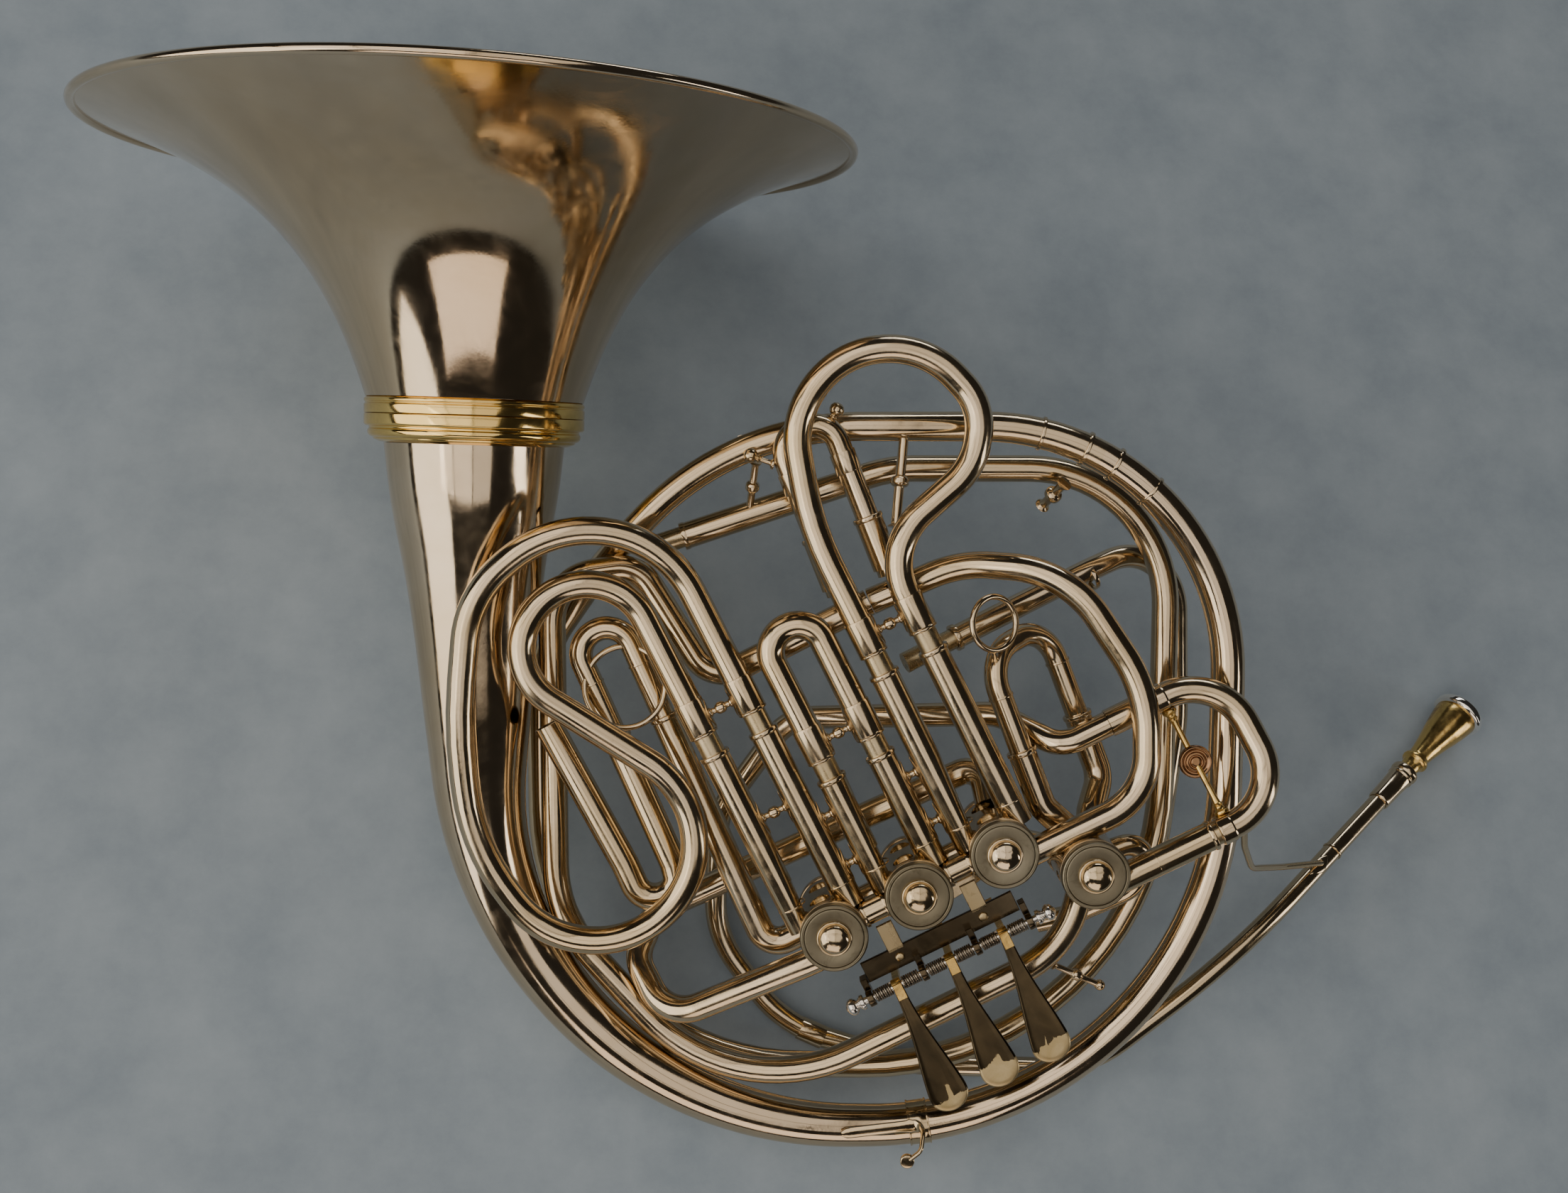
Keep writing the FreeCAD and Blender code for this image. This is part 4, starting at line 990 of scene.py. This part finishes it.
# B flat slides, one storey down
B1 = V(-0.40, 0.917).normalized()
b1_left = V(-63.0, -76, BB_STOREY + 3.5)
b1_side = V(0.917, 0.40)
b1_right = b1_left + b1_side * 22
B3 = V(-0.36, 0.933).normalized()
b3_left = V(99.5, -63, 15.5)
b3_right = V(127, -51.5, -8)
B2 = V(-0.37, 0.929).normalized()
b2_right = V(34.5, 35, 12)
b2_left = b2_right - V(0.929, 0.37) * 23
bb_sleeves = [
    tube([b1_left + B1 * 20, b1_left - B1 * 40, b1_left - B1 * 51 - b1_side * 2,
          b1_left - B1 * 51 - b1_side * 19, b1_left - B1 * 32 - b1_side * 19,
          V(-99.5, -53, BB_STOREY + 3.5)], [8, 8, 9.5, 30], SLEEVE_R, SLEEVE_BORE),
    tube([b1_right + B1 * 20, at_valve(v1, 0, -30.55, BB_STOREY + 3.5),
          at_valve(v1, 0, -6, BB_STOREY + 3.5)], 9, SLEEVE_R, SLEEVE_BORE),
    tube([b3_left, b3_left - B3 * 26, VALVE_4 + V(-2, 8, 14)], 12, SLEEVE_R, SLEEVE_BORE),
    tube([b3_right, b3_right - B3 * 30, VALVE_4 + V(5, 18, 2), VALVE_4 + V(3, 6, 8)], [12, 8],
         SLEEVE_R, SLEEVE_BORE),
    bar(b2_left - B2 * 23, b2_left, SLEEVE_R, SLEEVE_BORE),
    bar(b2_right - B2 * 23, b2_right, SLEEVE_R, SLEEVE_BORE)]
for foot, direction in ((b1_left + B1 * 20, B1), (b1_right + B1 * 20, B1), (b3_left, B3),
                        (b3_right, B3), (b2_left, B2), (b2_right, B2)):
    bb_sleeves.append(mouth_ring(foot, direction))
piece("bb_slide_sleeve_tubes", joined(*bb_sleeves), "body", SILVER,
      ["bb_slide_sleeves"])


def wire_ring(centre, normal, radius, minor=1.3):
    return torus(centre, normal, radius, minor, 96, 18)


def pull_knob(start, axis):
    return turned(start, axis, [
        (0, 0), (0, 2.3), (0.4, 2.4), (1.1, 2.35), (1.6, 1.5), (2.2, 1.1), (6.0, 1.1), (6.5, 1.6),
        (7.1, 1.9), (7.5, 1.4), (7.9, 1.5), (8.5, 2.4), (9.6, 3.05), (10.5, 3.15), (11.4, 3.05),
        (12.5, 2.4), (13.2, 1.3), (13.4, 0)], 40, 0.1)


bb1 = tube([b1_left - B1 * 8, b1_left + B1 * 64, b1_right + B1 * 64, b1_right - B1 * 8], 10.9,
           STOCKING_R, STOCKING_BORE, 40)
pull_1 = wire_ring((b1_left + b1_right) * 0.5 + B1 * 38 + b1_side * 2 + V(0, 0, 5.8),
                   V(-0.094, 0.215, 1), 17)
bb1_bands = [band(foot + B1 * 44, B1, 0.9, 5.35, 4.9, 0.15) for foot in (b1_left, b1_right)]
piece("bb1_slide_bow", joined(bb1, *bb1_bands), "bb1_slide_body", SILVER,
      ["bb1_slide"])
piece("bb1_pull_ring", pull_1, "bb1_slide_body", SILVER)
knob_side = V(-0.929, -0.37)
knob_way = V(0.492, 0.870)
bb2 = tube([b2_left - B2 * 26, b2_left + B2 * 44, b2_right + B2 * 44, b2_right - B2 * 26], 11.4,
           STOCKING_R, STOCKING_BORE, 40)
bb2_bands = [band(foot + B2 * 24, B2, 9.0, 5.5, 4.9, 0.3) for foot in (b2_left, b2_right)]
piece("bb2_slide_bow", joined(bb2, *bb2_bands), "bb2_slide_body", SILVER,
      ["bb2_slide"])
piece("bb2_pull_knobs",
      joined(pull_knob(b2_left + B2 * 34 + knob_side * 4.8, V(-0.94, 0.34)),
             pull_knob((b2_left + b2_right) * 0.5 + B2 * 32.6 + knob_way * 10, knob_way)),
      "bb2_slide_body", SILVER)
bb3 = tube([b3_left - B3 * 24, b3_left + B3 * 42, b3_right + B3 * 42, b3_right - B3 * 24], 16,
           STOCKING_R, STOCKING_BORE, 40)
bb3_bands = [band(foot + B3 * 24, B3, 1.0, 5.4, 4.9, 0.15) for foot in (b3_left, b3_right)]
piece("bb3_slide_bow", joined(bb3, *bb3_bands), "bb3_slide_body", SILVER,
      ["bb3_slide"])
pull_3 = joined(wire_ring(V(86.5, -8.7, 24), V(0.55, 0.1, 1), 11),
                bar(V(88.4, -24.3, 17.2), V(86.5, -19.8, 25.1), 1.5, 0, 20))
piece("bb3_pull_ring", pull_3, "bb3_slide_body", SILVER)

# main tuning slide
main_low = at_valve(VALVE_4, -10.5, 52, F_STOREY)
main_high = at_valve(VALVE_4, 47.5, 52, 14)
low_sleeve = route([main_low, at_valve(VALVE_4, -10.5, 2, F_STOREY)], [], 5)
piece("main_sleeve_tubes",
      joined(cased(low_sleeve, SLEEVE_R, SLEEVE_BORE),
             bar(main_high, at_valve(VALVE_4, 47.5, 34.2, 14), SLEEVE_R, SLEEVE_BORE),
             mouth_ring(main_low, ROW), mouth_ring(main_high, ROW),
             band(at_valve(VALVE_4, -10.5, 26, F_STOREY), ROW, 1.0, 6.0, 5.6, 0.15)),
      "body", SILVER, ["main_slide_sleeves"])
main_ferrules = []
main_stockings = []
for mouth, depth in ((main_low, 38), (main_high, 16)):
    main_stockings.append(bar(mouth - ROW * depth, mouth + ROW * 8, STOCKING_R, STOCKING_BORE))
    main_ferrules.append(turned(mouth + ROW * 2, ROW, [
        (0, STOCKING_R + 0.02), (0, 5.8), (0.35, 6.25), (1.1, 6.25), (1.5, FERRULE_R),
        (5.7, FERRULE_R), (6.0, 6.05), (6.5, BOW_R + 0.02), (6.1, BOW_R + 0.02),
        (6.1, STOCKING_R + 0.02)], 48, 0.1))
piece("main_stockings", joined(*main_stockings), "main_slide", STOCKING,
      ["main_slide_legs"])
piece("main_ferrules", joined(*main_ferrules), "main_slide", SILVER)
piece("main_bow", tube([main_low + ROW * 8.15, main_low + ROW * 33, main_high + ROW * 33,
                        main_high + ROW * 8.15], 29, sides=48), "main_slide", SILVER,
      ["main_slide_bow"])
stay_low = main_low + ROW * 7
stay_high = main_high + ROW * 7
stay_axis = (stay_high - stay_low).normalized()
stay_length = (stay_high - stay_low).length
main_stay = turned(stay_low + stay_axis * 5.95, stay_axis, [
    (0, 0), (0, 2.9), (0.5, 3.15), (1.5, 3.1), (2.2, 2.2), (3.4, 1.7), (4.2, 2.3), (5.0, 1.6),
    (8, 1.3), (stay_length - 19.5, 1.3), (stay_length - 16.8, 1.6), (stay_length - 16.0, 2.3),
    (stay_length - 15.2, 1.7), (stay_length - 14.1, 2.2), (stay_length - 13.3, 3.1),
    (stay_length - 12.4, 3.15), (stay_length - 11.9, 2.9), (stay_length - 11.9, 0)], 56, 0.2)
stay_middle = (stay_low + stay_high) * 0.5
medallion = turned(stay_middle - V(0, 0, 1.7), UP, [
    (0, 0), (0, 6.4), (0.5, 6.9), (1.2, 7.0), (2.6, 6.9), (3.2, 6.3), (3.1, 5.6), (2.5, 5.0),
    (2.5, 4.5), (3.2, 4.0), (3.3, 3.3), (2.6, 2.9), (2.6, 2.5), (3.3, 2.0), (3.4, 1.2), (3.35, 0)],
    72, 0.12)
piece("main_stay_turning", main_stay, "main_slide", AGED_BRASS,
      ["main_slide_stay"])
piece("main_stay_disc", medallion, "main_slide", COPPER)

# ---------------------------------------------------------------- levers and their hinge
HINGE_A = -32.0
HINGE_Z = 34.0
LEVER_B = [13.7, 38.1, 62.5]
POST_B = [1.5, 25.9, 50.3, 74.7]
BLADE = [(2.4, 2.2), (8, 2.4), (14, 2.9), (22, 4.0), (30, 5.4), (38, 6.9), (45, 8.0), (49, 8.4)]
BLADE_TIP = 56.4


def blade_outline(slant):
    """Narrow shank widening to a rounded touch; the tip leans aside by the slant."""
    right = [(w - slant * d / BLADE_TIP, -d) for d, w in BLADE]
    left = [(-w - slant * d / BLADE_TIP, -d) for d, w in BLADE]
    d_end, w_end = BLADE[-1]
    nose = []
    for k in range(1, 12):
        angle = math.pi * k / 12
        shift = slant * d_end / BLADE_TIP
        nose.append((w_end * math.cos(angle) - shift * 1.06, -d_end - (BLADE_TIP - d_end) * math.sin(angle)))
    outline = right + nose + left[::-1]
    return outline[::-1]


def smooth_outline(outline, times=2):
    """Corner-cutting that keeps the four corners of the square shank end."""
    points = [Vector(p) for p in outline]
    for _ in range(times):
        fresh = []
        count = len(points)
        for k in range(count):
            a = points[k]
            b = points[(k + 1) % count]
            if abs(a.y + 2.4) < 0.01 and abs(b.y + 2.4) < 0.01:
                fresh.extend([a, b])
                continue
            fresh.append(a * 0.75 + b * 0.25)
            fresh.append(a * 0.25 + b * 0.75)
        points = fresh
    return [(p.x, p.y) for p in points]


def blade_plate(slant):
    """Plate with a broad bevel all round, as a fan of rings from the middle line outwards."""
    outline = [Vector(p) for p in smooth_outline(blade_outline(slant))]
    count = len(outline)

    def spine(p):
        return Vector((-slant * (-p.y) / BLADE_TIP, min(-4.0, max(p.y, -50.0))))

    points = []
    rings = []
    layers = [(1.0, 0.0), (1.0, 0.75), (0.97, 1.25), (0.88, 1.5), (0.6, 1.56), (0.3, 1.5)]
    for share, height in layers:
        ring = []
        for p in outline:
            q = spine(p).lerp(p, share)
            ring.append(len(points))
            points.append(Vector((q.x, q.y, height)))
        rings.append(ring)
    faces = []
    for a, b in zip(rings, rings[1:]):
        faces.extend(ring_faces(a, b))
    faces.append(tuple(rings[-1]))
    faces.append(tuple(reversed(rings[0])))
    return points, faces


def paint_wear(thing, hinge, amount):
    """Point value that grows towards the finger end, where the tarnish is rubbed off."""
    mesh = thing.data
    wear = mesh.attributes.new("wear", "FLOAT", "POINT")
    origin = at_floor(hinge)
    direction = (TIP @ LEG) * -1
    for k, vertex in enumerate(mesh.vertices):
        along = (vertex.co - origin).dot(direction) * 1000
        wear.data[k].value = max(0.0, min(1.0, (along - BLADE_TIP + amount) / (amount * 0.9)))


LEVER_BODIES = ["first_lever", "second_lever", "third_lever"]
LEVER_WEAR = [12.0, 20.0, 16.0]
LEVER_SLANT = [1.0, 2.0, 3.0]
for index in range(3):
    b = LEVER_B[index]
    hinge = on_row(HINGE_A, b, HINGE_Z)
    tilt = Matrix.Rotation(math.radians(-4), 3, ROW)
    plate = oriented(blade_plate(LEVER_SLANT[index]), hinge + tilt @ V(0, 0, 1.6), tilt @ ROW,
                     tilt @ LEG, tilt @ UP)
    blade = piece("lever_blade_%d" % (index + 1), plate, LEVER_BODIES[index], TOUCH,
                  ["lever_%d" % (index + 1)], 50)
    paint_wear(blade, hinge, LEVER_WEAR[index])
    barrel = turned(hinge - ROW * 2.05, ROW, [(0, 1.56), (0, 3.0), (4.1, 3.0), (4.1, 1.56)], 40, 0.25)
    pad = oriented(slab([(-2.0, -5.5), (2.0, -5.5), (2.0, 1.5), (-2.0, 1.5)], 1.6, 0.3),
                   hinge + tilt @ V(0, 0, 2.0), tilt @ ROW, tilt @ LEG, tilt @ UP)
    arm = oriented(slab([(-1.5, -2.0), (1.5, -2.0), (1.5, 1.0), (-1.5, 1.0)], 46.0, 0.3),
                   hinge - V(0, 0, 47.5), ROW, LEG, UP)
    eye = turned(hinge + LEG * -2.2 - V(0, 0, 44.5), LEG, [(0, 0), (0, 1.9), (0.4, 2.1), (1.0, 2.1),
                                                        (1.0, 0)], 28, 0.12)
    piece("lever_hinge_%d" % (index + 1), joined(barrel, pad, arm, eye), LEVER_BODIES[index],
          AGED_BRASS)


def coil(start, axis, length, radius, wire, turns):
    axis = Vector(axis).normalized()
    side = axis.cross(UP).normalized()
    top = axis.cross(side)
    steps = int(turns * 18)
    line = []
    for k in range(steps + 1):
        angle = 2 * math.pi * turns * k / steps
        line.append(Vector(start) + axis * (length * k / steps) + side * (radius * math.cos(angle))
                    + top * (radius * math.sin(angle)))
    return sweep(line, wire, 0, 8)


springs = []
for b in LEVER_B:
    for way in (-1, 1):
        start = on_row(HINGE_A, b + 2.6 * way, HINGE_Z)
        springs.append(coil(start, ROW * way, 7.4, 2.35, 0.42, 8))
piece("lever_spring_coils", joined(*springs), "body", SPRING_WIRE,
      ["lever_springs"])

rods = [turned(on_row(HINGE_A, -1.5, HINGE_Z), ROW, [(0, 0), (0, 1.5), (79.2, 1.5), (79.2, 0)], 32, 0)]
for b, way in ((-1.5, -1), (77.7, 1)):
    rods.append(turned(on_row(HINGE_A, b, HINGE_Z), ROW * way, [
        (0, 0), (0, 2.9), (0.3, 3.15), (1.5, 3.15), (1.9, 2.5), (2.3, 2.5), (2.6, 1.9), (3.1, 1.8),
        (3.7, 2.7), (4.4, 3.35), (5.4, 3.6), (6.4, 3.35), (7.2, 2.7), (7.9, 1.6), (8.3, 0.6), (8.4, 0)],
        48, 0.1))
rods.append(turned(on_row(-32, 76, -24), LEG, [
    (-0.9, 0), (-0.9, 1.9), (-0.5, 2.3), (0, 2.3), (0, 1.5), (20, 1.5), (20, 2.3), (20.5, 2.3), (20.9, 1.9),
    (20.9, 0)], 32, 0.1))
piece("hinge_rods", joined(*rods), "body", STEEL, ["hinge_pins"])

bracket = [oriented(slab([(0, 0), (70, 0), (70, 9), (0, 9)], 2.0, 0.35),
                    on_row(-28.5, 3, 24.5), ROW, LEG, UP)]
for b in POST_B:
    bracket.append(turned(on_row(HINGE_A, b - 1.4, HINGE_Z), ROW, [
        (0, 1.55), (0, 3.1), (0.3, 3.4), (2.5, 3.4), (2.8, 3.1), (2.8, 1.55)], 40, 0.1))
    bracket.append(oriented(slab([(0, 0), (2.8, 0), (2.8, 8.4), (0, 8.4)], 6.6, 0.3),
                            on_row(HINGE_A - 1.0, b - 1.4, 24.6), ROW, LEG, UP))
piece("bracket_plate", joined(*bracket), "body", TARNISHED, ["lever_bracket"])
straps = []
for b in (19.35, 58.05):
    straps.append(oriented(slab([(0, 0), (7, 0), (7, 12.6), (0, 12.6)], 2.0, 0.35),
                           on_row(-21, b - 3.5, 24.5), ROW, LEG, UP))
    screw_at = on_row(-24.2, b, 26.5)
    straps.append(turned(screw_at, UP, [(0, 0), (0, 2.1), (0.35, 2.1), (0.8, 1.7), (1.0, 0.9),
                                        (1.05, 0)], 28, 0.1))
piece("bracket_straps", joined(*straps), "body", STOCKING)

# thumb lever
THUMB_B = 76.0
THUMB_Z = -24.0
paddle = [(-38, 1.5), (-41, 4), (-42, 7), (-41, 10), (-38, 12.5), (-30, 13.6), (-20, 12.6), (-10, 10.2),
          (-2, 9), (-2, 5), (-10, 3.8), (-20, 1.4), (-30, 0.4)]
paddle = smooth_outline([(x, y) for x, y in paddle[::-1]], 2)
thumb = joined(
    oriented(slab(paddle, 1.8, 0.4), on_row(-29, THUMB_B, THUMB_Z - 3.0), ROW, LEG, UP),
    oriented(slab([(-4, 0), (14, 0), (14, 4), (-4, 4)], 2.4, 0.35),
             on_row(-24, THUMB_B, THUMB_Z - 3.0), ROW, LEG, UP),
    turned(on_row(-27, THUMB_B, THUMB_Z), LEG, [(0, 1.56), (0, 2.8), (0.3, 3.0), (9.7, 3.0), (10, 2.8),
                                                (10, 1.56)], 40, 0.1))
piece("thumb_lever_plate", thumb, "thumb_touch", SILVER, ["thumb_lever"])


# ---------------------------------------------------------------- finger hook
def strip(line, widths, thickness, seed):
    """Flat band with rounded edges along a line; widths give one value per point."""
    points = []
    rings = []
    for (direction, side, top), centre, width in zip(frames(line, seed), line, widths):
        ring = []
        for k in range(16):
            angle = 2 * math.pi * k / 16
            c, s = math.cos(angle), math.sin(angle)
            across = math.copysign(abs(c) ** 0.55, c) * width / 2
            lift = math.copysign(abs(s) ** 0.8, s) * thickness / 2
            ring.append(len(points))
            points.append(centre + side * across + top * lift)
        rings.append(ring)
    faces = [tuple(reversed(rings[0])), tuple(rings[-1])]
    for a, b in zip(rings, rings[1:]):
        faces.extend(ring_faces(a, b))
    return points, faces


hook_line = route([V(25, -232.8, 11.3), V(50, -229.7, 11.4), V(58.5, -228.7, 12.2), V(60, -229.5, 17),
                   V(58.5, -236, 21.5), V(53.6, -239.6, 22)], [30, 4, 4, 4], 2.0)
hook_widths = []
hook_marks = lengths(hook_line)
for d in hook_marks:
    swell = math.exp(-((d - 32.0) / 3.0) ** 2)
    hook_widths.append((5.0 if d < 30 else 3.4) * min(1.0, 0.45 + d / 4) + 2.2 * swell)
hook_disc = turned(V(52.6, -240.1, 20.9), UP, [(0, 0), (0, 2.7), (0.3, 3.05), (1.8, 3.1), (2.2, 2.7),
                                              (2.25, 0)], 40, 0.15)
finger_hook = joined(strip(hook_line, hook_widths, 1.9, UP), hook_disc)
piece("finger_hook_strip", finger_hook, "body", SILVER, ["finger_hook"])

# ---------------------------------------------------------------- stays
pipe_stay = sweep(route([V(199.5, -100, -2), V(202, -111, -9), V(210, -125, -24), V(232, -131, -48),
                         PIPE_FOOT + PIPE_DIR * 63 + V(0, 2.4, 3.4)], [14, 16, 16]), 1.5, 0, 20)
collar = saddle(PIPE_FOOT + PIPE_DIR * 61, PIPE_DIR, V(0, 3, 4), 4.55, 14, 0.9)
piece("pipe_stay_wire", joined(pipe_stay, collar), "body", SILVER, ["pipe_stay"])

stays = [stay(at_valve(VALVES[0], 55.0, SLEEVE_R - PORT, F_STOREY),
              at_valve(VALVES[0], 55.0, PORT - SLEEVE_R, F_STOREY), LEG, LEG)]
for index in (0, 1):
    for a in (22.0, 44.0):
        left = at_valve(VALVES[index], a, PORT + SLEEVE_R, F_STOREY)
        right = at_valve(VALVES[index + 1], a, -PORT - SLEEVE_R, F_STOREY)
        stays.append(stay(left, right, LEG, LEG, 1.5))
plain_stays = [((50.5, 68, 2), (46.6, 30, 9.5), 2.1), ((-12, 57, -3), (-15, 36, -13), 1.6),
               ((119, 48, -2), (112, 38, -16), 2.0), ((116, -158.5, 8), (137, -169, 4), 1.3),
               ((-97, -128, -6), (-104, -132, -22), 1.8), ((-47, -197, -2), (-62, -196, -20), 1.8)]
for p, q, radius in plain_stays:
    stays.append(stay(p, q, UP, UP, radius, 0))
stays.append(ball(V(137, -169, 4), 2.35, 28))
piece("soldered_stay_bars", joined(*stays), "body", SILVER, ["soldered_stays"])

# ---------------------------------------------------------------- CAD nodes that stay
for name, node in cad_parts.items():
    if node.hide_render or name.startswith("rotor_") or name.startswith("valve_casing"):
        continue
    node.data.materials.clear()
    node.data.materials.append(SILVER)
    node.data.polygons.foreach_set("use_smooth", [True] * len(node.data.polygons))
    node.data.set_sharp_from_angle(angle=math.radians(35))

# ---------------------------------------------------------------- camera, floor and light
CAMERA_TILT = math.radians(5.7)
CAMERA_AWAY = 668.0
back = V(0, math.sin(CAMERA_TILT), math.cos(CAMERA_TILT))
camera_up = V(0, math.cos(CAMERA_TILT), -math.sin(CAMERA_TILT))
camera_data = bpy.data.cameras.new("camera")
camera_data.lens = 36.0
camera_data.sensor_width = 36.0
camera_data.clip_start = 0.01
camera_data.clip_end = 50.0
camera = bpy.data.objects.new("camera", camera_data)
bpy.context.scene.collection.objects.link(camera)
axes = Matrix((TIP @ V(1, 0, 0), TIP @ camera_up, TIP @ back)).transposed()
camera.matrix_world = Matrix.Translation(at_floor(back * CAMERA_AWAY)) @ axes.to_4x4()
bpy.context.scene.camera = camera


def floor_material():
    """Pale matt card with a faint mottle."""
    material, nodes, links = new_material("floor_card")
    shader = nodes["Principled BSDF"]
    coords = nodes.new("ShaderNodeTexCoord").outputs["Object"]
    cloud = noise(nodes, links, coords, 18, 8, 0.7)
    tones = ramp(nodes, [(0.3, (0.25, 0.31, 0.37)), (0.7, (0.35, 0.42, 0.48))])
    links.new(cloud.outputs["Fac"], tones.inputs["Fac"])
    links.new(tones.outputs["Color"], shader.inputs["Base Color"])
    shader.inputs["Roughness"].default_value = 0.9
    return material


bpy.ops.mesh.primitive_plane_add(size=8, location=(0, 0, 0))
floor = bpy.context.object
floor.name = "floor"
floor.data.materials.append(floor_material())


def soft_light(name, place, target, width, height, power, colour):
    data = bpy.data.lights.new(name, "AREA")
    data.shape = "RECTANGLE"
    data.size = width
    data.size_y = height
    data.energy = power
    data.color = colour
    light = bpy.data.objects.new(name, data)
    bpy.context.scene.collection.objects.link(light)
    light.location = place
    way = Vector(target) - Vector(place)
    light.rotation_mode = "QUATERNION"
    light.rotation_quaternion = way.to_track_quat("-Z", "Y")
    return light


camera_side = (TIP @ back).normalized()


def toward_camera(height, across=0.0, along=0.0):
    """A point high above the horn, on the camera's side, moved aside in metres."""
    return camera_side * (height / camera_side.z) + V(across, along, 0)


PANEL_WIDE = 1.05
PANEL_DEEP = 1.25
PANEL_GAP = 0.06
PANEL_POWERS = [7.0, 5.6, 3.6]
for column in (-1, 0, 1):
    for row in (-1, 0):
        place = toward_camera(2.2, -0.38 + column * (PANEL_WIDE + PANEL_GAP),
                              0.15 + (row + 0.5) * (PANEL_DEEP + PANEL_GAP))
        soft_light("ceiling_%d_%d" % (column + 1, row + 1), place, place - V(0, 0, 1), PANEL_WIDE,
                   PANEL_DEEP, PANEL_POWERS[column + 1], (1.0, 0.91, 0.82))
soft_light("front_wall", (-0.3, -3.0, 1.2), (0, 0, 0.1), 2.4, 1.5, 17, (1.0, 0.84, 0.72))
soft_light("window_left", (-2.6, -0.9, 1.3), (-0.1, 0, 0.1), 3.0, 2.1, 42, (1.0, 0.93, 0.84))
soft_light("window_right", (2.5, -0.9, 0.9), (0, 0, 0.1), 0.4, 1.6, 7, (1.0, 0.93, 0.85))
soft_light("window_far", (0.6, 2.8, 1.0), (0, 0, 0.1), 1.6, 0.5, 10, (0.95, 0.97, 1.0))

world = bpy.data.worlds.new("studio")
bpy.context.scene.world = world
world.use_nodes = True
background = world.node_tree.nodes["Background"]
background.inputs["Color"].default_value = (0.16, 0.15, 0.14, 1)
background.inputs["Strength"].default_value = 0.15
